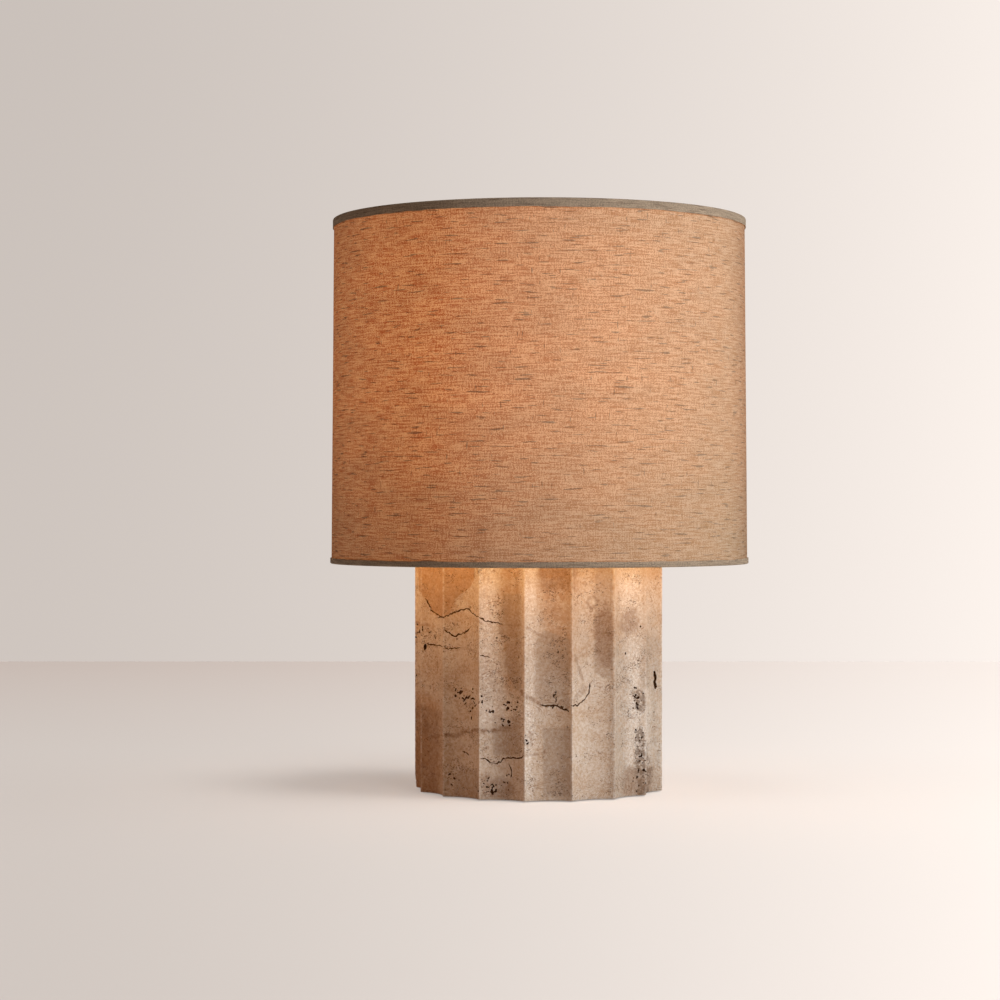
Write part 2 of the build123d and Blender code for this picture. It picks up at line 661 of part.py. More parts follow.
def arm_angles():
    return [90 + 360 / SPIDER_ARMS * arm for arm in range(SPIDER_ARMS)]


def make_shade_top_trim():
    tape = rim_tape(SHADE_TOP, TOP_TRIM_HEIGHT, TOP_RING_RADIUS, TOP_RING_WIRE)
    notch = rod(
        SPIDER_WIRE + GLUE_GAP,
        (TOP_RING_RADIUS, 0, TOP_RING_LEVEL),
        (TOP_RING_RADIUS - TOP_RING_WIRE * 4, 0, TOP_RING_LEVEL),
    )
    for gap in round_about(notch, arm_angles()):
        tape -= gap
    return tape


def make_shade_bottom_trim():
    return rim_tape(SHADE_BASE, BOTTOM_TRIM_HEIGHT, BOTTOM_RING_RADIUS, BOTTOM_RING_WIRE)


def make_shade_top_ring():
    return wire_ring(TOP_RING_RADIUS, TOP_RING_LEVEL, TOP_RING_WIRE)


def make_shade_bottom_ring():
    return wire_ring(BOTTOM_RING_RADIUS, BOTTOM_RING_LEVEL, BOTTOM_RING_WIRE)


def make_shade_washer():
    """The washer that sits on the harp's flange, under the finial."""
    bore = STUD_RADIUS + MOVING_GAP
    return disc(SPIDER_WASHER_RADIUS, SPIDER_BASE, SPIDER_WASHER_THICKNESS, bore=bore)


def make_shade_spider(washer, top_ring):
    """The arms, welded to the washer and to the top ring."""
    arms = round_about(spider_arm(), arm_angles())
    return Compound(children=[arm - washer - top_ring for arm in arms])


# ---- Finial

def make_finial():
    """A turned knob with a grooved rim, screwed down on the shade's washer."""
    base = SPIDER_TOP + MOVING_GAP
    head_base = base + FINIAL_FOOT_HEIGHT
    top = base + FINIAL_HEIGHT
    knob = turned(
        (0, base),
        (FINIAL_RADIUS - 1, base),
        (FINIAL_WAIST_RADIUS, base + FINIAL_FOOT_HEIGHT / 2),
        (FINIAL_RADIUS, head_base),
        (FINIAL_RADIUS, top),
        (0, top),
    )
    knob = fillet(knob.faces().sort_by(Axis.Z)[-1].edges(), FINIAL_GRIP_RADIUS * 2)
    for grip in range(FINIAL_GRIPS):
        angle = radians(grip * 360 / FINIAL_GRIPS)
        x, y = FINIAL_RADIUS * cos(angle), FINIAL_RADIUS * sin(angle)
        knob -= rod(FINIAL_GRIP_RADIUS, (x, y, head_base - 1), (x, y, top - 1))
    depth = FLANGE_TOP + STUD_LENGTH + MOVING_GAP - base
    return knob - disc(STUD_RADIUS + WIRE_GAP, base, depth)


harp_wire = make_harp()
top_ring = make_shade_top_ring()
shade_washer = make_shade_washer()
pieces = {
    "column": make_column(),
    "foot_felt": make_foot_felt(),
    "base_plate": make_base_plate(),
    "base_washer": make_base_washer(),
    "base_nut": make_base_nut(),
    "cord_grommet": make_cord_grommet(),
    "lamp_pipe": make_lamp_pipe(),
    "column_cap": make_column_cap(),
    "neck": make_neck(),
    "harp_saddle": make_harp_saddle(),
    "harp": harp_wire,
    "harp_sleeve_left": make_sleeve(-1),
    "harp_sleeve_right": make_sleeve(1),
    "harp_post": make_harp_post(harp_wire),
    "socket_cap": make_socket_cap(),
    "socket_set_screw": make_set_screw(),
    "socket_shell": make_socket_shell(),
    "socket_card": make_socket_card(),
    "socket_core": make_socket_core(),
    "terminal_screws": make_terminal_screws(),
    "thread_shell": make_thread_shell(),
    "centre_contact": make_centre_contact(),
    "switch_shaft": make_switch_shaft(),
    "switch_knob": make_switch_knob(),
    "bulb_tip": make_bulb_tip(),
    "bulb_insulator": make_bulb_insulator(),
    "bulb_cap": make_bulb_cap(),
    "bulb_globe": make_bulb_globe(),
    "bulb_stem": make_bulb_stem(),
    "bulb_filament": make_bulb_filament(),
    "shade_cover": make_shade_cover(),
    "shade_liner": make_shade_liner(),
    "shade_top_trim": make_shade_top_trim(),
    "shade_bottom_trim": make_shade_bottom_trim(),
    "shade_top_ring": top_ring,
    "shade_bottom_ring": make_shade_bottom_ring(),
    "shade_washer": shade_washer,
    "shade_spider": make_shade_spider(shade_washer, top_ring),
    "finial": make_finial(),
}

os.makedirs("parts", exist_ok=True)
for name, piece in pieces.items():
    export_step(piece, f"parts/{name}.step")
print(f"shade {SHADE_BASE:.1f} to {SHADE_TOP:.1f}, bulb centre {BULB_CENTRE:.1f}, key {KEY_LEVEL:.1f}")
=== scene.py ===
import json
import random
from math import atan2, cos, pi, radians, sin, sqrt

import bmesh
import bpy
import numpy as np
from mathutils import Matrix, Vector, noise

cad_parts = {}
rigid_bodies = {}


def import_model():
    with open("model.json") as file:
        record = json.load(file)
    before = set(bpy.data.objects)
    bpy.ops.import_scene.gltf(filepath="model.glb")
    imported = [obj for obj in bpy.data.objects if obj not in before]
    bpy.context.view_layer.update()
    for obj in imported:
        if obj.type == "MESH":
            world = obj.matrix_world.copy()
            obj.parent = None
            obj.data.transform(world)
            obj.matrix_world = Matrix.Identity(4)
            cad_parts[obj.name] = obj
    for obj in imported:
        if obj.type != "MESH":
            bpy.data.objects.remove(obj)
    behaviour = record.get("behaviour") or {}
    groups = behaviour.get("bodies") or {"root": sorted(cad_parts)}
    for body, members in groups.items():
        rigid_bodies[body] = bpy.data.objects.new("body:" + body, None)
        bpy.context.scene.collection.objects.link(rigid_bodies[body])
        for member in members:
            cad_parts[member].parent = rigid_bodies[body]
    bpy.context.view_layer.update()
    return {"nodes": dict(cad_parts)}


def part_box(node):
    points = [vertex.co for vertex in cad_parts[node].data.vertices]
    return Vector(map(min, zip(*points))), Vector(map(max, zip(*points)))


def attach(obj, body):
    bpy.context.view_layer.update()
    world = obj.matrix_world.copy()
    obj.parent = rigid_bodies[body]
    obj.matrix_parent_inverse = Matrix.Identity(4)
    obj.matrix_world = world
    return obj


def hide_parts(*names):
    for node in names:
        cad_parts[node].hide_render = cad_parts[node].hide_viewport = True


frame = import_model()
nodes = frame["nodes"]
scene = bpy.context.scene
scene.view_settings.view_transform = "Standard"


# ---- Camera
# A long lens, level with the lower third of the shade, a little to the right of the lamp's front.
# The lamp stands right of the picture's middle, so the camera is turned a little past it.
LENS = 93.8
SENSOR = 36.0
PICTURE = 1000
CAMERA_DISTANCE = 1.906
CAMERA_HEIGHT = 0.2089
CAMERA_AZIMUTH = radians(6.4)
CAMERA_YAW = radians(7.26)
HORIZON = 503  # the picture's row that is level with the camera

scene.camera = bpy.data.objects.new("camera", bpy.data.cameras.new("camera"))
scene.collection.objects.link(scene.camera)
scene.camera.data.lens = LENS
scene.camera.data.sensor_width = SENSOR
scene.camera.data.shift_y = (HORIZON - PICTURE / 2) / PICTURE
scene.camera.location = (
    CAMERA_DISTANCE * sin(CAMERA_AZIMUTH),
    -CAMERA_DISTANCE * cos(CAMERA_AZIMUTH),
    CAMERA_HEIGHT,
)
scene.camera.rotation_euler = (pi / 2, 0, CAMERA_YAW)

FOCUS = LENS / SENSOR * PICTURE
SIGHT = Vector((-sin(CAMERA_YAW), cos(CAMERA_YAW), 0))
SIDEWAYS = Vector((cos(CAMERA_YAW), sin(CAMERA_YAW), 0))
EYE = Vector(scene.camera.location)


def sight_line(column, row):
    """The direction in which the camera sees a place in the photograph."""
    aside = SIDEWAYS * ((column - PICTURE / 2) / FOCUS)
    return (SIGHT + aside + Vector((0, 0, (HORIZON - row) / FOCUS))).normalized()


# ---- Stone column
# One hollow drum of travertine with seventeen hollow flutes that meet in sharp arrises. It is cut and honed,
# and left unfilled, so natural pits, cracks and veins show. Below, a recess takes the felt, and the cord
# comes in through the wall at the back.
ARRIS_RADIUS = 0.091
FLUTE_COUNT = 17
FLUTE_DEPTH = 0.005
FLUTE_STEPS = 24  # facets across one flute
ARRIS_EASE = 0.00035
EDGE_EASE = 0.0006
STONE_ROWS = 92
FELT_RECESS_RADIUS = 0.0783
FELT_TOP = 0.002
CHAMBER_RADIUS = 0.060
CHAMBER_TOP = 0.038
CAVITY_RADIUS = 0.055
STONE_ROOF = 0.036
PIPE_HOLE = 0.0051
INLET_HEIGHT = 0.017
INLET_RADIUS = 0.00555
INLET_START = 0.0545
SPOT_FACE_RADIUS = 0.00875
SPOT_FACE_START = 0.08245
PITCH = 2 * pi / FLUTE_COUNT


def deselect():
    bpy.ops.object.select_all(action="DESELECT")


def take(piece):
    """Makes a piece the only one selected, and the active one."""
    deselect()
    piece.select_set(True)
    bpy.context.view_layer.objects.active = piece


def edit(piece):
    """Opens a piece's mesh for editing, with all of it selected."""
    take(piece)
    bpy.ops.object.mode_set(mode="EDIT")
    bpy.ops.mesh.select_all(action="SELECT")


def end_edit():
    bpy.ops.object.mode_set(mode="OBJECT")


def added(name):
    """The primitive just added, named, with its place put into its mesh."""
    piece = bpy.context.object
    piece.name = name
    piece.data.name = name
    take(piece)
    bpy.ops.object.transform_apply(location=True, rotation=True, scale=True)
    return piece


def pick(kind, chosen):
    """In edit mode, selects only the vertices, edges or faces that a test chooses."""
    bpy.ops.mesh.select_mode(type=kind)
    bpy.ops.mesh.select_all(action="DESELECT")
    mesh = bmesh.from_edit_mesh(bpy.context.object.data)
    for part in {"VERT": mesh.verts, "EDGE": mesh.edges, "FACE": mesh.faces}[kind]:
        if chosen(part):
            part.select_set(True)
    mesh.select_flush_mode()
    bmesh.update_edit_mesh(bpy.context.object.data)


def apply_modifiers(piece):
    take(piece)
    for modifier in list(piece.modifiers):
        bpy.ops.object.modifier_apply(modifier=modifier.name)


def smoothed(piece, sharpest):
    """Shades a piece smooth, but for the edges that turn by more than so many degrees."""
    take(piece)
    bpy.ops.object.shade_smooth_by_angle(angle=radians(sharpest))


def drum(name, radius, low, high, corners):
    """An upright drum about the lamp's axis."""
    deselect()
    middle = (0, 0, (high + low) / 2)
    bpy.ops.mesh.primitive_cylinder_add(vertices=corners, radius=radius, depth=high - low, location=middle)
    return added(name)


def turned(name, profile, segments=96, ends=False):
    """A skin turned about the lamp's axis through (radius, height) points, its ends closed if asked."""
    deselect()
    radius, height = profile[0]
    bpy.ops.mesh.primitive_circle_add(vertices=segments, radius=radius, location=(0, 0, height))
    piece = added(name)
    edit(piece)
    extrude = bpy.ops.mesh.extrude_edges_move
    if ends:
        bpy.ops.mesh.edge_face_add()
        bpy.ops.mesh.select_all(action="SELECT")
        extrude = bpy.ops.mesh.extrude_region_move
    for next_radius, next_height in profile[1:]:
        extrude()
        scale = next_radius / radius
        bpy.ops.transform.resize(value=(scale, scale, 1), center_override=(0, 0, 0))
        bpy.ops.transform.translate(value=(0, 0, next_height - height))
        radius, height = next_radius, next_height
    bpy.ops.mesh.select_all(action="SELECT")
    bpy.ops.mesh.remove_doubles(threshold=1e-6)
    bpy.ops.mesh.normals_make_consistent(inside=False)
    end_edit()
    return piece


def fan_ends(piece, most_corners=12):
    """Splits faces that have very many corners into fans, because only those stay sound when they are cut."""
    edit(piece)
    pick("FACE", lambda face: len(face.verts) > most_corners)
    bpy.ops.mesh.poke()
    end_edit()


def cut(piece, cutter):
    """Takes the cutter's shape out of a piece, and the cutter away. New faces keep the cutter's finish."""
    if not cutter.data.materials:
        cutter.data.materials.append(piece.data.materials[0])
    fan_ends(cutter)
    boolean = piece.modifiers.new("cut", "BOOLEAN")
    boolean.object = cutter
    boolean.operation = "DIFFERENCE"
    boolean.solver = "MANIFOLD"
    boolean.material_mode = "INDEX"
    apply_modifiers(piece)
    bpy.data.objects.remove(cutter)


def bar(name, radius, start, end, segments=48):
    """A round bar from one point to another."""
    deselect()
    start, end = Vector(start), Vector(end)
    bpy.ops.mesh.primitive_cylinder_add(
        vertices=segments,
        radius=radius,
        depth=(end - start).length,
        location=(start + end) / 2,
        rotation=(end - start).to_track_quat("Z", "Y").to_euler(),
    )
    return added(name)


def flute_radius(step):
    """Axis to the hollow arc at one of the steps across a flute, the arrises being its first and last."""
    half_chord = ARRIS_RADIUS * sin(PITCH / 2)
    arc_radius = (half_chord ** 2 + FLUTE_DEPTH ** 2) / (2 * FLUTE_DEPTH)
    arc_centre = ARRIS_RADIUS * cos(PITCH / 2) - FLUTE_DEPTH + arc_radius
    angle = (step / FLUTE_STEPS - 0.5) * PITCH
    return arc_centre * cos(angle) - sqrt(arc_radius ** 2 - (arc_centre * sin(angle)) ** 2)


def flute_step(vertex):
    """Which of the steps across its flute a vertex stands on, counted from an arris at the front."""
    azimuth = atan2(vertex.co.x, -vertex.co.y)
    return round(azimuth / PITCH * FLUTE_STEPS) % FLUTE_STEPS


column_low, column_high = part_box("column")
stone_base, stone_top = column_low.z, column_high.z
column = drum("stone_column", ARRIS_RADIUS, stone_base, stone_top, FLUTE_COUNT * FLUTE_STEPS)
edit(column)
for flute_place in range(1, FLUTE_STEPS):
    pick("VERT", lambda vertex: flute_step(vertex) == flute_place)
    shrink = flute_radius(flute_place) / ARRIS_RADIUS
    bpy.ops.transform.resize(value=(shrink, shrink, 1), center_override=(0, 0, 0))


def is_upright(edge):
    low, high = edge.verts
    return abs(low.co.z - high.co.z) > (stone_top - stone_base) / 2


pick("EDGE", lambda edge: is_upright(edge) and flute_step(edge.verts[0]) == 0)
bpy.ops.mesh.bevel(offset=ARRIS_EASE, segments=2, affect="EDGES")
pick("EDGE", lambda edge: not is_upright(edge))
bpy.ops.mesh.bevel(offset=EDGE_EASE, segments=2, affect="EDGES")
pick("EDGE", is_upright)
bpy.ops.mesh.subdivide(number_cuts=STONE_ROWS - 1)
end_edit()
fan_ends(column)


def add_node(tree, kind, inputs=None, **settings):
    """Adds a node, and gives its inputs their values or links."""
    node = tree.nodes.new(kind)
    for setting, value in settings.items():
        setattr(node, setting, value)
    for socket, value in (inputs or {}).items():
        if isinstance(value, bpy.types.NodeSocket):
            tree.links.new(value, node.inputs[socket])
        else:
            node.inputs[socket].default_value = value
    return node


def tree_of(*values):
    """The node tree that a material's values belong to."""
    return next(value.id_data for value in values if isinstance(value, bpy.types.NodeSocket))


def grain(vector, scale, detail=2.0, roughness=0.5, distortion=0.0):
    """Noise over a surface, from about 0.3 to 0.7."""
    inputs = {"Vector": vector, "Scale": scale, "Detail": detail}
    inputs.update({"Roughness": roughness, "Distortion": distortion})
    return add_node(tree_of(vector), "ShaderNodeTexNoise", inputs).outputs["Fac"]


def ranged(value, low, high, to_low=0.0, to_high=1.0, soft=True):
    """Spreads a value from one range to another, with soft ends or evenly."""
    inputs = {"Value": value, "From Min": low, "From Max": high, "To Min": to_low, "To Max": to_high}
    curve = "SMOOTHSTEP" if soft else "LINEAR"
    node = add_node(tree_of(value), "ShaderNodeMapRange", inputs, interpolation_type=curve)
    return node.outputs["Result"]


def reckon(operation, *values):
    inputs = dict(enumerate(values))
    return add_node(tree_of(*values), "ShaderNodeMath", inputs, operation=operation).outputs["Value"]


def times(first, second):
    return reckon("MULTIPLY", first, second)


def blended(share, first, second, mode="MIX"):
    """One colour laid over another by a share."""
    inputs = {"Factor": share, 6: first, 7: second}
    tree = tree_of(share, first, second)
    return add_node(tree, "ShaderNodeMix", inputs, data_type="RGBA", blend_type=mode).outputs[2]


def bumped(height, depth):
    inputs = {"Height": height, "Distance": depth, "Strength": 1.0}
    return add_node(tree_of(height), "ShaderNodeBump", inputs).outputs["Normal"]


def new_material(name, **values):
    """A material with its Principled shader, set to the plain values that are the same all over."""
    material = bpy.data.materials.new(name)
    material.use_nodes = True
    shader = material.node_tree.nodes["Principled BSDF"]
    for socket, value in values.items():
        shader.inputs[socket.replace("_", " ")].default_value = value
    return material, material.node_tree, shader


def vary(node, **values):
    """Links the inputs of a shader or a group's end to values that change over the surface."""
    for socket, value in values.items():
        node.id_data.links.new(value, node.inputs[socket.replace("_", " ")])


def own_place(tree):
    """The place on the object itself, in metres."""
    return add_node(tree, "ShaderNodeTexCoord").outputs["Object"]


PALE_STONE = (0.545, 0.475, 0.405, 1)
WARM_STONE = (0.47, 0.365, 0.275, 1)
TAN_STONE = (0.41, 0.265, 0.162, 1)
BUFF_STONE_AND_SHADE = (0.35, 0.275, 0.215, 1)
MINERAL = (0.15, 0.105, 0.075, 1)
GREY_STONE = (0.40, 0.345, 0.29, 1)
CRYSTAL = (0.66, 0.61, 0.555, 1)
VEIN = (0.22, 0.125, 0.07, 1)
PORE = (0.10, 0.055, 0.03, 1)
PIT_DIRT_AND_SHADE = (0.050, 0.022, 0.010, 1)
PIT_CRUMBS = (0.19, 0.105, 0.055, 1)
STAIN_AND_SHADE_BROWN = (0.215, 0.125, 0.075, 1)
RUST = (0.25, 0.135, 0.065, 1)

travertine, tree, shader = new_material("travertine", Roughness=0.72, Specular_IOR_Level=0.1)
place = own_place(tree)
bedded = add_node(tree, "ShaderNodeVectorMath", {0: place, 1: (1, 1, 1.6)}, operation="MULTIPLY").outputs[0]
cloud = grain(bedded, 26, detail=6, roughness=0.66, distortion=0.5)
colour = blended(ranged(cloud, 0.34, 0.68), PALE_STONE, WARM_STONE)
ragged = reckon("SUBTRACT", grain(place, 260, detail=5, roughness=0.7), 0.5)
mottle = grain(bedded, 120, detail=5, roughness=0.75)
salt = grain(place, 900, detail=2, roughness=0.7)
specks = grain(place, 330, detail=4, roughness=0.75)

# Marked patches of other stone, in the order in which they lie over one another, some of it painted shade.
speckle = ranged(mottle, 0.36, 0.6, 0.45, 1.0)
smooth = ranged(mottle, 0.36, 0.6, 0.8, 1.0)
salted = ranged(salt, 0.44, 0.6, 0.4, 1.0)
blotched = ranged(specks, 0.4, 0.6, 0.6, 1.0)
peppered = ranged(specks, 0.43, 0.54, 0.2, 1.0)
STONE_MARKS = (  # mark, colour, strength and pattern, and how soft and how ragged its edge is
    ("tan", TAN_STONE, 1.0, smooth, 0.8, 4.0),
    ("painted_shade", TAN_STONE, 0.8, speckle, 8.0, 9.0),
    ("buff_and_shade", BUFF_STONE_AND_SHADE, 0.7, smooth, 1.6, 5.0),
    ("grey", GREY_STONE, 0.9, speckle, 8.0, 9.0),
    ("crystal", CRYSTAL, 0.95, salted, 5.0, 9.0),
    ("smudge", STAIN_AND_SHADE_BROWN, 0.58, blotched, 3.5, 9.0),
    ("mineral", MINERAL, 0.75, peppered, 1.5, 9.0),
    ("vein", VEIN, 0.7, 1.0, 1.6, 9.0),
    ("hairline", VEIN, 0.5, 1.0, 1.3, 5.0),
)
for mark, stone, strength, pattern, softness, raggedness in STONE_MARKS:
    inside = add_node(tree, "ShaderNodeAttribute", attribute_name=mark).outputs["Fac"]
    inside = reckon("ADD", inside, times(ragged, raggedness))
    share = times(ranged(inside, -softness, softness), strength)
    colour = blended(times(share, pattern), colour, stone)

# Growth bands: thin wandering lines, in some places only.
bands = reckon("FRACT", times(grain(bedded, 30, detail=3, distortion=1.6), 17.0))
from_band = reckon("ABSOLUTE", reckon("SUBTRACT", bands, 0.5))
banded = ranged(grain(place, 38, detail=2), 0.46, 0.6)
band_line = times(ranged(from_band, 0.02, 0.11, 1.0, 0.0), banded)
colour = blended(times(band_line, 0.6), colour, VEIN)

# Pores: flat dark specks that lie with the bedding and come in drifts.
drifts = grain(bedded, 70, detail=4, roughness=0.7)
pores = 0.0
for pore_scale, widest in ((420, 0.30), (760, 0.33)):
    spots = add_node(tree, "ShaderNodeTexVoronoi", {"Vector": bedded, "Scale": pore_scale}).outputs
    reach = reckon("SUBTRACT", ranged(drifts, 0.40, 0.66, 0.02, widest), spots["Distance"])
    pores = reckon("MAXIMUM", ranged(reach, -0.05, 0.08), pores)
colour = blended(times(pores, 0.75), colour, PORE)

# The arrises are paler, part rubbed wear and part painted highlight; the foot has a painted shade.
spot = add_node(tree, "ShaderNodeSeparateXYZ", {0: place}).outputs
turn = reckon("ARCTAN2", spot["X"], times(spot["Y"], -1.0))
turn = reckon("DIVIDE", turn, PITCH)
from_arris = reckon("ABSOLUTE", reckon("SUBTRACT", turn, reckon("ROUND", turn)))
rubbed = ranged(from_arris, 0.008, 0.045, 0.55, 0.0)
colour = blended(times(rubbed, ranged(mottle, 0.35, 0.6)), colour, CRYSTAL)
colour = blended(ranged(spot["Z"], 0.0, 0.03, 0.12, 0.0), colour, VEIN)

# Iron in the stone has rusted in small spots, most of them on the left.
rust_left = ranged(spot["X"], -0.055, 0.02, 0.45, 0.1)
colour = blended(times(ranged(specks, 0.5, 0.66), rust_left), colour, RUST)

# Grain, stronger in blue than in red, so that the dark grains are browner.
fine = grain(place, 560, detail=3, roughness=0.8)
darkest = (("Red", 0.87), ("Green", 0.79), ("Blue", 0.70))
grain_tint = {channel: ranged(fine, 0.3, 0.7, low, 2 - low) for channel, low in darkest}
grain_tint = add_node(tree, "ShaderNodeCombineColor", grain_tint).outputs["Color"]
vary(
    shader,
    Base_Color=blended(1.0, colour, grain_tint, "MULTIPLY"),
    Roughness=ranged(fine, 0.3, 0.7, 0.62, 0.82),
    Normal=bumped(reckon("SUBTRACT", fine, times(pores, 1.5)), 0.00022),
)

# The pits and cracks are darkened: partly dirt, partly painted shade deeper than their shallow cuts give.
pit_dirt_and_shade, tree, shader = new_material("pit_dirt_and_shade", Roughness=0.95, Specular_IOR_Level=0.0)
crumbs = grain(own_place(tree), 1100, detail=3)
vary(
    shader,
    Base_Color=blended(ranged(crumbs, 0.45, 0.7), PIT_DIRT_AND_SHADE, PIT_CRUMBS),
    Normal=bumped(crumbs, 0.0003),
)
CLEAN, DIRTY_AND_SHADED = 0, 1  # the stone's finishes
for finish in (travertine, pit_dirt_and_shade):
    column.data.materials.append(finish)


def stone_at(across, down):
    """Where the camera sees the stone at a place in the photograph, and which way the stone faces there."""
    found, spot, facing, _ = column.ray_cast(EYE, sight_line(across, down))
    return (spot, facing) if found else None


chance = random.Random(17)
cutters = []


def groove(points, width=0.0013, wander=0.5):
    """A crack's cutter: a thin tube that wanders along the stone through places in the photograph."""
    line = []
    for (across, down), (next_across, next_down) in zip(points, points[1:]):
        steps = max(1, round(sqrt((next_across - across) ** 2 + (next_down - down) ** 2) / 1.6))
        for step in range(steps):
            share = step / steps
            line.append((across + (next_across - across) * share, down + (next_down - down) * share))
    line.append(points[-1])
    spots = []
    for across, down in line:
        seen = stone_at(across + chance.gauss(0, wander / 2), down + chance.gauss(0, wander))
        if seen:
            spots.append(seen[0] - seen[1] * 0.00005)
    curve = bpy.data.curves.new("groove", "CURVE")
    curve.dimensions = "3D"
    curve.bevel_depth = width / 2
    curve.bevel_resolution = 1
    curve.use_fill_caps = True
    spline = curve.splines.new("POLY")
    spline.points.add(len(spots) - 1)
    for index, (point, spot) in enumerate(zip(spline.points, spots)):
        point.co = (*spot, 1)
        taper = min(index, len(spots) - 1 - index, 2) / 2
        point.radius = 0.3 + 0.7 * taper * chance.uniform(0.3, 1.3)
    tube = bpy.data.objects.new("groove", curve)
    scene.collection.objects.link(tube)
    take(tube)
    bpy.ops.object.convert(target="MESH")
    cutters.append(bpy.context.object)


def hollow(spot, facing, width, height, depth):
    """A pit's cutter: a rough ball, half in the stone."""
    deselect()
    bpy.ops.mesh.primitive_ico_sphere_add(subdivisions=2, radius=1, location=spot)
    ball = bpy.context.object
    ball.rotation_mode = "QUATERNION"
    ball.rotation_quaternion = facing.to_track_quat("Z", "Y")
    ball.scale = (width / 2, height / 2, depth)
    ball = added("pit")
    edit(ball)
    roughness = min(width, height) * 0.18
    bpy.ops.transform.vertex_random(offset=roughness, uniform=0.6, seed=chance.randrange(10000))
    end_edit()
    cutters.append(ball)


CRACKS = (
    ((425, 598), (428.5, 604), (433, 612), (440, 616), (446, 618)),
    ((437, 617), (442, 617), (449, 615), (455, 612), (463, 610), (469, 609), (472, 613), (477, 616),
     (486, 621), (497, 623), (503, 624.5)),
    ((442, 629), (449, 632), (452, 635), (455, 636), (460, 634), (466, 632), (470, 628)),
    ((425, 643), (436, 645), (444, 647), (450, 649), (456, 648), (461, 648)),
    ((462, 751), (466, 753), (470, 756)),
    ((477, 759), (484, 758), (490, 762), (496, 764), (500, 762), (505, 758), (520, 758), (524, 756)),
    ((509, 764), (512, 772), (511, 779)),
    ((541.5, 705.5), (546, 706), (552, 705), (557, 706), (562, 709), (568.5, 711)),
    ((555, 704), (556, 698), (558, 695)),
    ((570, 706), (577, 705.5), (584, 700), (589, 693), (590, 682)),
    ((479, 655), (484, 656), (490, 657.5)),
)
SINGLE_PITS = (  # column, row, width and height, all in the photograph
    (425, 647, 3.2, 5.0), (417.5, 624.5, 2.2, 1.6), (435.5, 638, 1.4, 1.8), (457, 639, 1.4, 1.0),
    (497, 638, 1.3, 1.5), (625.5, 653.5, 1.6, 2.2), (640.5, 626.5, 1.6, 1.8), (654, 712, 1.4, 1.6),
    (654, 720.5, 1.0, 1.2), (655, 730, 1.0, 1.0), (558, 652, 1.0, 3.0), (508, 708, 2.8, 2.6),
    (509, 722, 3.2, 2.0), (490, 712, 3.0, 1.8), (461, 692, 2.6, 2.6), (466, 698, 2.0, 1.6),
    (475, 706, 1.6, 2.0), (585, 757, 0.9, 1.0),
)
PIT_DRIFTS = (  # column and row of the middle, spread across and down, and how many lie together
    (420, 631, 6, 6, 10), (431, 635, 6, 4, 6), (457, 693, 8, 7, 14), (466, 699, 8, 8, 16),
    (473, 703, 5, 12, 16), (489, 709, 6, 4, 8), (509, 707, 9, 6, 16), (507, 722, 7, 5, 12),
    (547, 706, 10, 2, 9), (565, 710, 6, 2, 5), (556, 697, 4, 6, 6), (491, 786, 14, 8, 26),
    (507, 780, 4, 8, 9), (638, 701, 7, 12, 22), (639, 737, 5, 14, 16), (642, 772, 8, 22, 44),
    (655, 680, 2, 6, 6), (527, 738, 3, 7, 5), (452, 780, 9, 12, 6), (480, 700, 8, 12, 8),
)
PIXEL = CAMERA_DISTANCE / FOCUS  # metres at the lamp to a row or column of the photograph
PIT_OVERSIZE = 1.25  # a pit's cutter is this much wider than the pit it leaves
SIDE_DRIFTS = 34


def pit(across, down, width, height):
    """A pit at a place in the photograph, its sizes in the photograph's pixels."""
    seen = stone_at(across, down)
    if seen:
        wide, tall = width * PIXEL * PIT_OVERSIZE, height * PIXEL * PIT_OVERSIZE
        hollow(*seen, wide, tall, chance.uniform(0.0012, 0.0022))


for crack in CRACKS:
    groove(crack)
for single in SINGLE_PITS:
    pit(*single)
for across, down, spread, drop, count in PIT_DRIFTS:
    for _ in range(count):
        size = chance.uniform(0.6, 1.6)
        place = chance.gauss(across, spread / 2), chance.gauss(down, drop / 2)
        pit(*place, size * chance.uniform(0.8, 1.6), size * chance.uniform(0.8, 1.3))

# A long hole stands upright in a flute on the right.
for step in range(4):
    hollow(*stone_at(654.5 + step % 2, 674 + 4 * step), 0.0030, 0.0046, 0.0022)

# On the sides and back the same kinds of pit come in drifts.
for drift in range(SIDE_DRIFTS):
    azimuth = chance.uniform(radians(75), radians(285))
    level = chance.uniform(stone_base + 0.006, stone_top - 0.006)
    for _ in range(chance.randrange(2, 7)):
        turn = azimuth + chance.gauss(0, 0.05)
        outward = Vector((sin(turn), -cos(turn), 0))
        height = level + chance.gauss(0, 0.003)
        start = outward * 0.2 + Vector((0, 0, height))
        found, spot, facing, _ = column.ray_cast(start, -outward)
        if found and stone_base + 0.003 < height < stone_top - 0.003:
            size = chance.uniform(0.0008, 0.0026)
            hollow(spot, facing, size * chance.uniform(0.8, 1.9), size, size * 0.6)


WELD = 0.00036  # size of the voxels in which overlapping cutters become one


def erode(finish):
    """Welds the cutters made so far, cuts them out of the stone, and gives the cuts one of its finishes."""
    deselect()
    for cutter in cutters:
        cutter.select_set(True)
    bpy.context.view_layer.objects.active = cutters[0]
    bpy.ops.object.join()
    cutters.clear()
    erosion = bpy.context.object
    remesh = erosion.modifiers.new("weld", "REMESH")
    remesh.mode = "VOXEL"
    remesh.voxel_size = WELD
    apply_modifiers(erosion)
    erosion.data.materials.clear()
    for material in column.data.materials:
        erosion.data.materials.append(material)
    for polygon in erosion.data.polygons:
        polygon.material_index = finish
    cut(column, erosion)


erode(DIRTY_AND_SHADED)


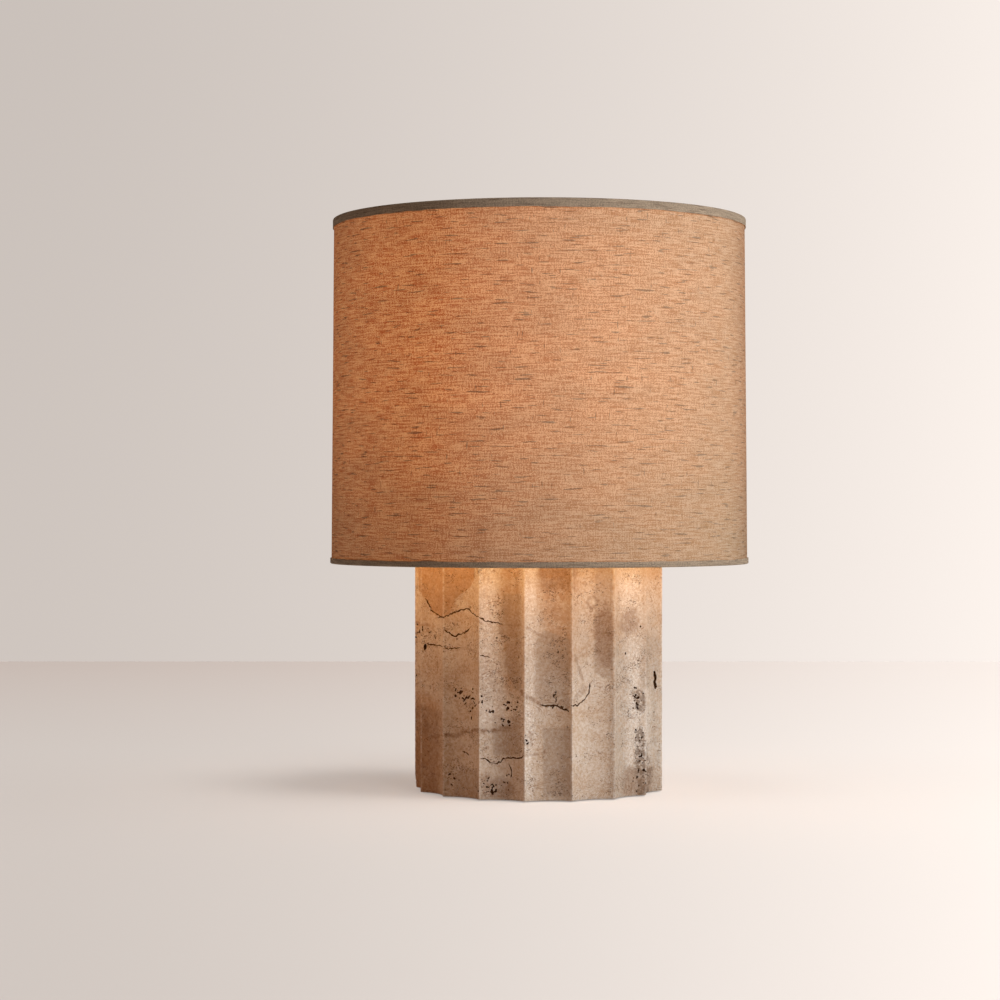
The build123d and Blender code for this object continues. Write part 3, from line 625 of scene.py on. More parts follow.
def chip(arris, height, reach, rise):
    """A flake knocked off an arris, which is counted from the one at the front."""
    turn = arris * PITCH
    spot = Vector((sin(turn), -cos(turn), 0)) * ARRIS_RADIUS + Vector((0, 0, height))
    outward = Vector((spot.x, spot.y, 0)).normalized()
    hollow(spot + outward * reach * 0.45, outward, reach * 2.2, rise, reach)


FOOT_CHIPS = (  # arris, height above the foot, reach into the stone and rise along the arris
    (-4, 0, 0.0052, 0.0165),
    (-4, 0.0075, 0.0016, 0.005),
    (2, 0, 0.0018, 0.005),
    (3, 0.001, 0.0022, 0.006),
    (1, 0, 0.0012, 0.004),
)
CHIPS_PER_ARRIS = 4
for arris, height, reach, rise in FOOT_CHIPS:
    chip(arris, stone_base + height, reach, rise)
for arris in range(FLUTE_COUNT):
    for _ in range(CHIPS_PER_ARRIS):
        level = chance.uniform(stone_base + 0.004, stone_top - 0.004)
        chip(arris, level, chance.uniform(0.0004, 0.0008), chance.uniform(0.001, 0.003))
erode(CLEAN)

cut(column, turned("hollow", (
    (FELT_RECESS_RADIUS, stone_base - 0.002),
    (FELT_RECESS_RADIUS, FELT_TOP),
    (CHAMBER_RADIUS, FELT_TOP),
    (CHAMBER_RADIUS, CHAMBER_TOP),
    (CAVITY_RADIUS, CHAMBER_TOP),
    (CAVITY_RADIUS, stone_top - STONE_ROOF),
    (PIPE_HOLE, stone_top - STONE_ROOF),
    (PIPE_HOLE, stone_top + 0.002),
), ends=True))
for radius, start in ((INLET_RADIUS, INLET_START), (SPOT_FACE_RADIUS, SPOT_FACE_START)):
    outside = ARRIS_RADIUS + 0.002
    cut(column, bar("bore", radius, (0, start, INLET_HEIGHT), (0, outside, INLET_HEIGHT)))

# Patches of other stone, drawn by their outlines or lines in the photograph, and of painted shade.
TAN_PATCHES = (
    ((418, 560), (419, 590), (428, 604), (433, 613), (441, 618), (449, 614), (453, 607), (455, 599),
     (462, 593), (470, 588), (474, 580), (475, 560)),
    ((412, 742), (420, 737), (428, 738), (431, 750), (427, 758), (430, 766), (421, 763), (412, 768)),
)
# Painted shade: soft darker tan over the flutes' halves turned from the light, and low on the left flutes.
PAINTED_SHADE_PATCHES = (
    ((538, 552), (540, 600), (546, 640), (554, 668), (574, 672), (576, 552)),
    ((502, 550), (502, 620), (508, 690), (522, 690), (522, 550)),
    ((412, 688), (412, 797), (440, 797), (440, 700)),
)
# Buff stone, partly painted shade: most of these lie on the flutes' halves turned from the light.
BUFF_AND_SHADE_PATCHES = (
    ((503, 594), (498, 630), (506, 645), (503, 664), (510, 678), (514, 689), (522, 692), (523, 594)),
    ((543, 728), (572, 728), (572, 797), (543, 797)),
    ((493, 716), (521, 716), (521, 755), (493, 755)),
    ((534, 640), (534, 695), (541, 704), (549, 706), (559, 706), (569, 710), (571, 640), (545, 630)),
    ((594, 672), (603, 678), (613, 680), (613, 560), (595, 560)),
    ((455, 778), (462, 765), (478, 770), (478, 800), (455, 800)),
)
MINERAL_PATCHES = (
    ((632, 691), (641, 689), (646, 700), (645, 713), (635, 709)),
    ((634, 728), (641, 724), (645, 736), (648, 751), (636, 751)),
    ((634, 751), (647, 749), (653, 768), (650, 792), (638, 796), (635, 772)),
)
# Darker smudges of stone; some are painted shade, on flutes' halves turned from the light and low on the
# left.
STAIN_AND_SHADE_PATCHES = (
    ((597, 612), (606, 606), (613, 616), (613, 668), (603, 668), (596, 655), (594, 630)),
    ((621, 616), (628, 608), (636, 608), (639, 620), (636, 631), (627, 637), (619, 628)),
    ((479, 778), (486, 772), (494, 779), (503, 777), (512, 784), (515, 792), (505, 799), (480, 799)),
    ((455, 592), (462, 592), (463, 599), (456, 600)),
    ((625, 768), (652, 768), (652, 796), (622, 796)),
    ((412, 700), (440, 712), (440, 797), (412, 797)),
    ((538, 560), (576, 560), (576, 590), (540, 590)),
)
GREY_PATCHES = (((612, 650), (632, 636), (664, 640), (664, 810), (612, 810)),)
CRYSTAL_PATCHES = (
    ((522, 540), (536, 540), (536, 640), (535, 700), (533, 800), (522, 800)),
    ((616, 560), (640, 560), (644, 625), (640, 690), (630, 690), (622, 620)),
    ((628, 690), (648, 690), (650, 765), (626, 765)),
    ((479, 560), (495, 560), (497, 630), (503, 648), (505, 690), (512, 705), (510, 722), (479, 728)),
)
VEINS = (
    ((430, 737), (445, 735), (455, 737), (463, 732), (473, 730), (490, 731.5), (500, 730), (508, 728)),
    ((426, 722), (429, 727), (424, 733)),
    ((521, 692), (527, 697), (536, 701), (541, 705)),
)
HAIRLINES = (
    ((526, 627), (533, 631), (540, 635), (548, 638)),
    ((503, 624.5), (515, 625), (521, 625)),
    ((415, 623), (424, 624), (431, 626)),
    ((575, 655), (579, 668), (583, 680)),
    ((573, 703), (577, 695), (583, 686)),
    ((577, 702), (582, 694), (587, 687)),
    ((417, 769), (423, 766), (429, 768), (433, 775), (434, 788)),
    ((594, 597), (598, 602), (596, 606), (590, 607), (587, 603), (589, 598), (594, 597)),
    ((528, 731), (532, 733), (530, 738), (526, 736)),
    ((531, 740), (532, 745), (528, 747), (527, 742)),
    ((462, 648), (472, 650), (478, 653)),
    ((524, 756), (533, 755), (545, 752)),
)

MARK_REACH = 8.0  # in the photograph's pixels, past which a vertex counts as far in or far out
column_vertices = np.empty(len(column.data.vertices) * 3)
column.data.vertices.foreach_get("co", column_vertices)
column_vertices = column_vertices.reshape(-1, 3)
from_eye = column_vertices - np.array(EYE)
reach = from_eye @ np.array(SIGHT)
seen_across = PICTURE / 2 + FOCUS * (from_eye @ np.array(SIDEWAYS)) / reach
seen_down = HORIZON - FOCUS * from_eye[:, 2] / reach
outward = column_vertices[:, :2] / np.linalg.norm(column_vertices[:, :2], axis=1)[:, None]
faces_camera = (-(from_eye[:, :2]) * outward).sum(axis=1) > -0.25


def from_line(points, closed):
    """How far, in the photograph, each vertex lies from a line, and whether an outline holds it."""
    nearest = np.full(len(seen_across), 1e3)
    held = np.zeros(len(seen_across), bool)
    ends = points[1:] + points[:1] if closed else points[1:]
    for (x, y), (next_x, next_y) in zip(points, ends):
        run_x, run_y = next_x - x, next_y - y
        along = ((seen_across - x) * run_x + (seen_down - y) * run_y) / (run_x ** 2 + run_y ** 2)
        along = np.clip(along, 0, 1)
        gap = np.hypot(seen_across - x - along * run_x, seen_down - y - along * run_y)
        nearest = np.minimum(nearest, gap)
        if run_y and closed:
            crosses = (seen_down > min(y, next_y)) & (seen_down <= max(y, next_y))
            held ^= crosses & (seen_across < x + (seen_down - y) * run_x / run_y)
    return nearest, held


def mark_stone(name, outlines, closed=True, half_width=0.0):
    """Stores how far inside the marked patches each vertex lies, in the photograph's pixels."""
    deepest = np.full(len(seen_across), -MARK_REACH)
    for outline in outlines:
        gap, held = from_line(outline, closed)
        deepest = np.maximum(deepest, np.where(held, gap, -gap) if closed else half_width - gap)
    deepest[~faces_camera] = -MARK_REACH
    attribute = column.data.attributes.new(name, "FLOAT", "POINT")
    attribute.data.foreach_set("value", np.clip(deepest, -MARK_REACH, MARK_REACH))


mark_stone("tan", TAN_PATCHES)
mark_stone("painted_shade", PAINTED_SHADE_PATCHES)
mark_stone("buff_and_shade", BUFF_AND_SHADE_PATCHES)
mark_stone("grey", GREY_PATCHES)
mark_stone("mineral", MINERAL_PATCHES)
mark_stone("smudge", STAIN_AND_SHADE_PATCHES)
mark_stone("crystal", CRYSTAL_PATCHES)
mark_stone("vein", VEINS, closed=False, half_width=1.8)
mark_stone("hairline", HAIRLINES, closed=False, half_width=1.1)

smoothed(column, 24)


def placed(piece, body, node):
    """Puts a piece on the body that it rides on, and hides the CAD node that it stands for."""
    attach(piece, body)
    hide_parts(node)


placed(column, "base", "column")


# ---- Felt
# A disc of pressed wool felt glued into the recess under the stone. It stands a little proud,
# so that the stone doesn't touch the table.
felt_low, felt_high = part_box("foot_felt")
felt_radius = felt_high.x
felt_disc = drum("felt_disc", felt_radius, felt_low.z, felt_high.z, 180)
edit(felt_disc)
pick("EDGE", lambda edge: abs(edge.verts[0].co.z - edge.verts[1].co.z) < 1e-5)
bpy.ops.mesh.bevel(offset=0.0003, segments=2, affect="EDGES")
for ring in range(10):
    pick("FACE", lambda face: len(face.verts) > 100)
    bpy.ops.mesh.inset(thickness=felt_radius / 12)
end_edit()
smoothed(felt_disc, 40)

FELT_BROWN = (0.045, 0.033, 0.025, 1)
FELT_FIBRE = (0.115, 0.088, 0.065, 1)
felt_cloth, tree, shader = new_material("felt_cloth", Roughness=0.96, Sheen_Weight=0.35, Sheen_Roughness=0.5)
place = own_place(tree)
fibres = grain(place, 700, detail=4, roughness=0.8, distortion=1.2)
tufts = grain(place, 120, detail=3)
felt_colour = blended(ranged(fibres, 0.4, 0.68), FELT_BROWN, FELT_FIBRE)
felt_colour = blended(ranged(tufts, 0.35, 0.7, 0, 0.35), felt_colour, FELT_FIBRE)
vary(shader, Base_Color=felt_colour, Normal=bumped(fibres, 0.0004))
felt_disc.data.materials.append(felt_cloth)
placed(felt_disc, "base", "foot_felt")


# ---- Plate, washer and nut
# Zinc-plated steel, stamped and cut from bar. They draw the pipe down and so hold the whole lamp together,
# out of sight under the stone.
def new_group(name, inputs, outputs):
    """A group of shader nodes with named sockets: the group, what it is given, and its end."""
    group = bpy.data.node_groups.new(name, "ShaderNodeTree")
    for in_out, sockets in (("INPUT", inputs), ("OUTPUT", outputs)):
        for socket, kind in sockets.items():
            group.interface.new_socket(socket, in_out=in_out, socket_type="NodeSocket" + kind)
    return group, group.nodes.new("NodeGroupInput").outputs, group.nodes.new("NodeGroupOutput")


# Rubbed metal: fine scratches one way, with smudges where it has been handled.
rubbed_metal, given, end = new_group(
    "rubbed_metal",
    {"Place": "Vector", "Scratch Scale": "Vector", "Smooth": "Float", "Rough": "Float"},
    {"Smudge": "Float", "Roughness": "Float", "Normal": "Vector"},
)
tree = rubbed_metal
stretched = {0: given["Place"], 1: given["Scratch Scale"]}
stretched = add_node(tree, "ShaderNodeVectorMath", stretched, operation="MULTIPLY").outputs["Vector"]
scratches = grain(stretched, 1.0, detail=3, roughness=0.6)
smudge = ranged(grain(given["Place"], 55, detail=4, roughness=0.6), 0.4, 0.68)
wear = reckon("MULTIPLY_ADD", smudge, 0.6, times(scratches, 0.4))
vary(
    end,
    Smudge=smudge,
    Roughness=ranged(wear, 0.0, 1.0, given["Smooth"], given["Rough"], soft=False),
    Normal=bumped(scratches, 0.00003),
)


def metal(name, clean, worn, smooth, rough, scratches=(900, 900, 60)):
    """A metal finish: its colour where clean and where tarnished, and how rough it is there."""
    material, tree, shader = new_material(name, Metallic=1.0)
    inputs = {"Place": own_place(tree), "Scratch Scale": scratches, "Smooth": smooth, "Rough": rough}
    rubbed = add_node(tree, "ShaderNodeGroup", inputs, node_tree=rubbed_metal).outputs
    vary(
        shader,
        Base_Color=blended(rubbed["Smudge"], clean, worn),
        Roughness=rubbed["Roughness"],
        Normal=rubbed["Normal"],
    )
    return material


def dress(material, *names):
    """Gives CAD nodes their finish."""
    for name in names:
        for place in nodes[name].material_slots:
            place.material = material


zinc_steel = metal("zinc_steel", (0.60, 0.60, 0.57, 1), (0.45, 0.44, 0.40, 1), 0.32, 0.52)
dress(zinc_steel, "base_plate", "base_washer", "base_nut", "lamp_pipe", "socket_set_screw")


# ---- Cord inlet
# A moulded rubber bush pushed into the wall at the back, with its flange let into the flute.
def moulding(name, clean, worn, bloom_scale, smooth, rough, skin_scale, skin_detail, skin_depth, **values):
    """A moulded finish: its colour and gloss vary with handling, over a fine skin."""
    material, tree, shader = new_material(name, **values)
    place = own_place(tree)
    bloom = grain(place, bloom_scale, detail=4)
    vary(
        shader,
        Base_Color=blended(ranged(bloom, 0.4, 0.7), clean, worn),
        Roughness=ranged(bloom, 0.35, 0.7, smooth, rough),
        Normal=bumped(grain(place, skin_scale, detail=skin_detail), skin_depth),
    )
    return material


inlet_rubber = moulding(
    "inlet_rubber", (0.018, 0.016, 0.015, 1), (0.045, 0.041, 0.038, 1), 160, 0.55, 0.8, 1500, 2, 0.00004,
    Specular_IOR_Level=0.3,
)
dress(inlet_rubber, "cord_grommet")


# ---- Top cap, neck and finial
# Turned brass with an antique finish under lacquer. The cap covers the hole in the stone, the neck lifts
# the socket, and the finial screws down on the shade.
antique_brass = metal(
    "antique_brass", (0.52, 0.36, 0.16, 1), (0.30, 0.19, 0.08, 1), 0.26, 0.46, (300, 300, 1400)
)
dress(antique_brass, "column_cap", "neck", "finial")


# ---- Harp, saddle, sleeves, stud and the shade's wires
# Drawn steel wire and strip with a nickel plate, bent, pressed and welded.
nickel_wire = metal("nickel_wire", (0.62, 0.59, 0.54, 1), (0.44, 0.41, 0.36, 1), 0.22, 0.42)
dress(nickel_wire, "harp_saddle", "harp", "harp_sleeve_left", "harp_sleeve_right", "harp_post")
dress(nickel_wire, "shade_washer", "shade_spider", "shade_top_ring", "shade_bottom_ring")


# ---- Socket and switch
# Spun brass cap and shell, bright plated, over a card tube and a black moulded core with the thread shell,
# the contact and the screws. The key's shaft comes out at the front and carries a moulded knob.
socket_brass = metal(
    "socket_brass", (0.72, 0.52, 0.25, 1), (0.48, 0.32, 0.14, 1), 0.18, 0.4, (260, 260, 1500)
)
dress(socket_brass, "socket_cap", "socket_shell", "terminal_screws", "thread_shell", "centre_contact")
dress(socket_brass, "switch_shaft")

card_tube, tree, shader = new_material("card_tube", Roughness=0.9)
pulp = grain(own_place(tree), 500, detail=5, roughness=0.7)
shade = blended(ranged(pulp, 0.35, 0.7), (0.30, 0.22, 0.14, 1), (0.42, 0.32, 0.21, 1))
vary(shader, Base_Color=shade, Normal=bumped(pulp, 0.00008))
dress(card_tube, "socket_card")

black_moulding = moulding(
    "black_moulding", (0.012, 0.011, 0.010, 1), (0.030, 0.027, 0.024, 1), 90, 0.28, 0.5, 1800, 1, 0.00002,
    Coat_Weight=0.2, Coat_Roughness=0.2,
)
dress(black_moulding, "socket_core", "switch_knob", "bulb_insulator")


# ---- Bulb
# A globe of glass frosted inside, on a rolled aluminium cap. A glass stem holds the filament.
# It is lit, so the globe glows a warm white.
bulb_aluminium = metal(
    "bulb_aluminium", (0.74, 0.74, 0.73, 1), (0.55, 0.54, 0.52, 1), 0.25, 0.45, (200, 200, 1800)
)
dress(bulb_aluminium, "bulb_cap", "bulb_tip")

frosted_glass, tree, shader = new_material("frosted_glass", IOR=1.45, Emission_Strength=1.0)
frost = grain(own_place(tree), 220, detail=3)
frosting = ranged(frost, 0.35, 0.7)
vary(
    shader,
    Base_Color=blended(frosting, (0.90, 0.80, 0.64, 1), (0.95, 0.87, 0.73, 1)),
    Emission_Color=blended(frosting, (1.0, 0.80, 0.47, 1), (1.0, 0.84, 0.54, 1)),
    Roughness=ranged(frost, 0.35, 0.7, 0.35, 0.5),
)
dress(frosted_glass, "bulb_globe")

stem_glass, tree, shader = new_material("stem_glass", IOR=1.5, Transmission_Weight=0.85, Roughness=0.08)
seeds = grain(own_place(tree), 400, detail=2)
shade = blended(ranged(seeds, 0.4, 0.7), (0.86, 0.90, 0.88, 1), (0.94, 0.96, 0.95, 1))
vary(shader, Base_Color=shade, Normal=bumped(seeds, 0.00005))
dress(stem_glass, "bulb_stem")

tungsten = metal("tungsten", (0.35, 0.33, 0.31, 1), (0.24, 0.22, 0.20, 1), 0.35, 0.55)
dress(tungsten, "bulb_filament")


# ---- Linen cover
# A strip of slubbed linen, rolled round the shade's lining and lapped over itself at the back, where it is
# glued. The bulb lights it from inside: it glows most at the bulb's height.
SHADE_RADIUS = 0.152  # outside of the cover at the bottom rim
SHADE_TAPER = 0.002
CLOTH_THICKNESS = 0.0008
LAP = 0.012
LAP_RAMP = 0.006
COVER_COLUMNS = 420
COVER_ROWS = 40
cover_low, cover_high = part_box("shade_cover")
shade_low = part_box("shade_bottom_trim")[0].z
shade_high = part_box("shade_top_trim")[1].z


def cover_radius(height):
    return SHADE_RADIUS - SHADE_TAPER * (height - shade_low) / (shade_high - shade_low)


cover_height = cover_high.z - cover_low.z
cover_width = 2 * pi * cover_radius((cover_low.z + cover_high.z) / 2) + LAP
deselect()
bpy.ops.mesh.primitive_grid_add(x_subdivisions=COVER_COLUMNS, y_subdivisions=COVER_ROWS, size=1)
bpy.context.object.scale = (cover_width, cover_height, 1)
linen_cover = added("linen_cover")
weave = linen_cover.data.uv_layers[0]
weave.name = "weave"
for loop in linen_cover.data.loops:
    flat_place = linen_cover.data.vertices[loop.vertex_index].co
    weave.data[loop.index].uv = (flat_place.x, flat_place.y)
for vertex in linen_cover.data.vertices:
    along = vertex.co.x + cover_width / 2
    height = cover_low.z + cover_height / 2 + vertex.co.y
    angle = (along - LAP / 2) / (cover_width - LAP) * 2 * pi
    lapped = min(1, max(0, (along - (cover_width - LAP - LAP_RAMP)) / LAP_RAMP))
    ripple = 0.00012 * noise.noise(Vector((vertex.co.x * 28, height * 9, 0)))
    radius = cover_radius(height) - CLOTH_THICKNESS * (1 - lapped) * 0.5 + ripple
    vertex.co = (-radius * sin(angle), radius * cos(angle), height)
wall = linen_cover.modifiers.new("cloth", "SOLIDIFY")
wall.thickness = CLOTH_THICKNESS * 0.5
wall.offset = -1
apply_modifiers(linen_cover)
smoothed(linen_cover, 40)

# Plain weave seen from a step away: uneven threads both ways, slubs, and a broad unevenness.
woven_threads, given, end = new_group(
    "woven_threads",
    {"Cloth": "Vector"},
    {"Thread": "Float", "Slub": "Float", "Density": "Float", "Height": "Float"},
)
tree = woven_threads


def streaks(along, up, detail=1.0, shift=0.0):
    """How threads vary: so many streaks to a metre along the strip, and so many up it."""
    inputs = {"Vector": given["Cloth"], "Scale": (along, up, 1), "Location": (shift, shift, shift)}
    vector = add_node(woven_threads, "ShaderNodeMapping", inputs).outputs["Vector"]
    return grain(vector, 1.0, detail=detail)


weft = times(streaks(64, 950), 0.34)
warp = times(streaks(1150, 150, 1.0, 7.0), 0.24)
nap = times(streaks(1200, 1200, 0.5, 3.0), 0.42)
thread = reckon("ADD", reckon("ADD", weft, warp), nap)
weft_slub = ranged(streaks(60, 620, 1.0, 13.0), 0.62, 0.71)
warp_slub = ranged(streaks(620, 110, 1.0, 29.0), 0.70, 0.78)
slub = reckon("MAXIMUM", weft_slub, warp_slub)
height = reckon("MULTIPLY_ADD", slub, 0.5, thread)
vary(end, Thread=thread, Slub=slub, Density=streaks(22, 60, 3.0, 41.0), Height=height)


def woven(tree):
    """The cloth's threads, laid out on the piece's own weave map."""
    cloth = add_node(tree, "ShaderNodeUVMap", uv_map="weave").outputs["UV"]
    return add_node(tree, "ShaderNodeGroup", {"Cloth": cloth}, node_tree=woven_threads).outputs


def bulb_glow(tree, below, above):
    """How strongly the bulb lights the shade from inside: most at its own height, less below and above."""
    height = add_node(tree, "ShaderNodeSeparateXYZ", {0: own_place(tree)}).outputs["Z"]
    return times(ranged(height, *below), ranged(height, *above))


def scaled_colour(colour, value):
    """A colour made lighter or darker by a value."""
    grey = dict.fromkeys(("Red", "Green", "Blue"), value)
    grey = add_node(tree_of(colour, value), "ShaderNodeCombineColor", grey).outputs["Color"]
    return blended(1.0, colour, grey, "MULTIPLY")


LINEN_DARK = (0.247, 0.207, 0.120, 1)
LINEN_LIGHT = (0.265, 0.270, 0.225, 1)
LINEN_SLUB = (0.13, 0.088, 0.055, 1)
GLOW_DARK = (0.298, 0.039, 0.000, 1)
GLOW_LIGHT = (0.566, 0.207, 0.058, 1)
linen, tree, shader = new_material("linen", Roughness=0.92, Specular_IOR_Level=0.1, Emission_Strength=1.0)
threads = woven(tree)
linen_colour = blended(ranged(threads["Thread"], 0.42, 0.58), LINEN_DARK, LINEN_LIGHT)
linen_colour = blended(times(threads["Slub"], 0.45), linen_colour, LINEN_SLUB)
# Seen aslant, the threads shade and hide one another, and let less light through.
aslant = add_node(tree, "ShaderNodeLayerWeight", {"Blend": 0.5}).outputs["Facing"]
glow = bulb_glow(tree, (0.150, 0.300, 0.58, 1.0), (0.355, shade_high + 0.02, 1.0, 0.84))
for share in (
    ranged(threads["Density"], 0.3, 0.7, 0.93, 1.07),
    ranged(threads["Slub"], 0.0, 1.0, 1.0, 0.42),
    ranged(aslant, 0.1, 0.9, 1.0, 0.63, soft=False),
):
    glow = times(glow, share)
through = blended(ranged(threads["Thread"], 0.41, 0.59), GLOW_DARK, GLOW_LIGHT)
vary(
    shader,
    Base_Color=scaled_colour(linen_colour, ranged(aslant, 0.55, 0.95, 1.0, 0.6)),
    Emission_Color=scaled_colour(through, glow),
    Normal=bumped(threads["Height"], 0.00035),
)
linen_cover.data.materials.append(linen)
placed(linen_cover, "shade", "shade_cover")


# ---- Lining
# White styrene sheet behind the linen, rolled and glued with it. It spreads the bulb's light.
shade_lining, tree, shader = new_material("shade_lining", Roughness=0.6, Emission_Strength=1.0)
sheen = grain(own_place(tree), 30, detail=3)
glow = bulb_glow(tree, (shade_low - 0.03, 0.310, 0.55, 1.0), (0.345, shade_high, 1.0, 0.75))
glow = times(glow, ranged(sheen, 0.3, 0.7, 0.95, 1.05))
vary(
    shader,
    Base_Color=blended(ranged(sheen, 0.35, 0.65), (0.78, 0.72, 0.62, 1), (0.82, 0.77, 0.68, 1)),
    Emission_Color=scaled_colour((1.95, 0.98, 0.27, 1), glow),
    Normal=bumped(sheen, 0.0002),
)
dress(shade_lining, "shade_liner")


# ---- Rim tapes
# Bias tape of the same linen, dyed darker, folded over each rim and its wire ring, and glued by hand,
# so its lower edge wanders a little. Three layers of cloth keep the bulb's light in.
TAPE_THICKNESS = 0.0005
TAPE_SEGMENTS = 300
RIM_WIDTH = 0.0051  # outside of the cover to the inside of the tape

TAPE = (0.28, 0.232, 0.175, 1)
TAPE_GLOW = (0.030, 0.010, 0.002, 1)
TAPE_SLUB = (0.15, 0.115, 0.085, 1)
rim_tape, tree, shader = new_material(
    "rim_tape", Roughness=0.93, Specular_IOR_Level=0.15, Emission_Strength=1.0
)
threads = woven(tree)
tape_colour = scaled_colour(TAPE, ranged(threads["Thread"], 0.36, 0.64, 0.72, 1.28))
let_through = ranged(threads["Thread"], 0.36, 0.64, 0.6, 1.4)
vary(
    shader,
    Base_Color=blended(times(threads["Slub"], 0.6), tape_colour, TAPE_SLUB),
    Emission_Color=scaled_colour(TAPE_GLOW, let_through),
    Normal=bumped(threads["Height"], 0.0004),
)


def fold_tape(name, node, rim, inward):
    """Tape folded over a rim at a height, its edges so far inward from it, up or down."""
    edge = rim + inward
    middle = rim + inward * 0.5
    rise = inward / abs(inward)
    outer = cover_radius(edge) + TAPE_THICKNESS
    inner = cover_radius(edge) - RIM_WIDTH
    soft = 0.0008  # how round the folds are
    profile = (
        (outer, edge),
        (outer, middle),
        (outer, rim + rise * soft),
        (outer - soft * 0.3, rim + rise * soft * 0.3),
        (outer - soft, rim),
        (inner + soft, rim),
        (inner + soft * 0.3, rim + rise * soft * 0.3),
        (inner, rim + rise * soft),
        (inner, middle),
        (inner, edge),
    )
    tape = turned(name, profile, segments=TAPE_SEGMENTS)
    for vertex in tape.data.vertices:
        if abs(vertex.co.z - edge) < 1e-6:
            turn = Vector((vertex.co.x, vertex.co.y, rim))
            wander = 0.0004 * (1 + noise.noise(turn * 38)) - 0.00025 * noise.noise(turn * 210)
            vertex.co.z -= rise * wander
    cloth = tape.data.uv_layers.new(name="weave")
    for polygon in tape.data.polygons:
        first = atan2(polygon.center.x, -polygon.center.y)
        for corner in polygon.loop_indices:
            spot = tape.data.vertices[tape.data.loops[corner].vertex_index].co
            turn = atan2(spot.x, -spot.y)
            turn += 2 * pi * round((first - turn) / (2 * pi))
            radius = sqrt(spot.x ** 2 + spot.y ** 2)
            cloth.data[corner].uv = (turn * outer, spot.z + outer - radius)
    wall = tape.modifiers.new("cloth", "SOLIDIFY")
    wall.thickness = TAPE_THICKNESS
    wall.offset = -1
    apply_modifiers(tape)
    smoothed(tape, 50)
    tape.data.materials.append(rim_tape)
    placed(tape, "shade", node)


fold_tape("top_tape", "shade_top_trim", shade_high, -0.0065)
fold_tape("bottom_tape", "shade_bottom_trim", shade_low, 0.0045)


# ---- Studio
# A pale tabletop and a plain wall behind it, painted as the camera sees them; paler to the right is painted
# light.
# Broad lamps stand on the right and behind, and weak warm ones on the left, for the stone. Suns for the table
# alone draw the stone's shadow. The bulb's own light stays on the lamp.
WALL_AHEAD = 3.434  # camera to wall
STAGE_WIDTH = 9.0
STAGE_DEPTH = 6.0
WALL_HEIGHT = 5.0
SHADOW_SHARE = 0.54  # how much of the table's paint a shadow can take away
TABLE_LIGHTS = (  # azimuth, elevation and share; several together give a soft shadow
    (35, 40, 0.20),
    (76, 50, 0.47),
    (108, 52, 0.18),
    (-70, 55, 0.15),
)
PAPER_LEFT_SHADED = (0.615, 0.555, 0.515, 1)
PAPER_RIGHT_LIT = (0.99, 0.908, 0.852, 1)
WALL_FOOT_SHADE = (0.92, 0.87, 0.85, 1)


def seen_directly(tree):
    """One where the camera sees a surface itself, or in metal or through glass, and otherwise nought."""
    path = add_node(tree, "ShaderNodeLightPath").outputs
    seen = reckon("MAXIMUM", path["Is Camera Ray"], path["Is Glossy Ray"])
    return reckon("MAXIMUM", seen, path["Is Transmission Ray"])


def stage_paint(name, lit_share):
    """Paint that the camera sees as it is written, but for the share that a shadow can take away."""
    material, tree, shader = new_material(name, Roughness=1.0, Specular_IOR_Level=0.0)
    place = own_place(tree)
    from_eye = add_node(tree, "ShaderNodeVectorMath", {0: place, 1: EYE}, operation="SUBTRACT").outputs[0]

    def distance(direction):
        inputs = {0: from_eye, 1: direction}
        return add_node(tree, "ShaderNodeVectorMath", inputs, operation="DOT_PRODUCT").outputs["Value"]

    ahead = distance(SIGHT)
    across = reckon("DIVIDE", distance(SIDEWAYS), reckon("MAXIMUM", ahead, 0.1))
    # Painted light: paler to the right, where the light falls.
    paler = reckon("POWER", ranged(across, -0.2, 0.2, soft=False), 1.5)
    height = add_node(tree, "ShaderNodeSeparateXYZ", {0: place}).outputs["Z"]
    # Painted shade: the tabletop darkens towards the foot of the wall, less on the right.
    foot = ranged(ahead, 2.2, WALL_AHEAD - 0.01, soft=False)
    foot = times(foot, ranged(height, 0, 0.0001, 1, 0))
    foot = times(foot, ranged(paler, 0.1, 0.9, 1.0, 0.35))
    tint = blended(foot, blended(paler, PAPER_LEFT_SHADED, PAPER_RIGHT_LIT), WALL_FOOT_SHADE, "MULTIPLY")
    tint = scaled_colour(tint, ranged(height, 0, 0.8, 1.01, 0.96, soft=False))
    vary(shader, Base_Color=scaled_colour(tint, lit_share))
    shown = add_node(tree, "ShaderNodeEmission", {"Color": tint, "Strength": 1 - lit_share}).outputs[0]
    unseen = add_node(tree, "ShaderNodeEmission", {"Strength": 0.0}).outputs[0]
    own_light = {0: seen_directly(tree), 1: unseen, 2: shown}
    own_light = add_node(tree, "ShaderNodeMixShader", own_light).outputs[0]
    surface = add_node(tree, "ShaderNodeAddShader", {0: shader.outputs[0], 1: own_light}).outputs[0]
    behind = add_node(tree, "ShaderNodeNewGeometry").outputs["Backfacing"]
    clear = add_node(tree, "ShaderNodeBsdfTransparent").outputs[0]
    surface = add_node(tree, "ShaderNodeMixShader", {0: behind, 1: surface, 2: clear}).outputs[0]
    vary(tree.nodes["Material Output"], Surface=surface)
    return material


def stage_plane(name, depth, middle, turn, paint):
    """A flat sheet of the studio, its mesh in the lamp's own place."""
    deselect()
    bpy.ops.mesh.primitive_plane_add(size=1)
    bpy.context.object.scale = (STAGE_WIDTH, depth, 1)
    bpy.context.object.rotation_euler = turn
    bpy.context.object.location = middle
    sheet = added(name)
    sheet.data.materials.append(paint)
    return sheet


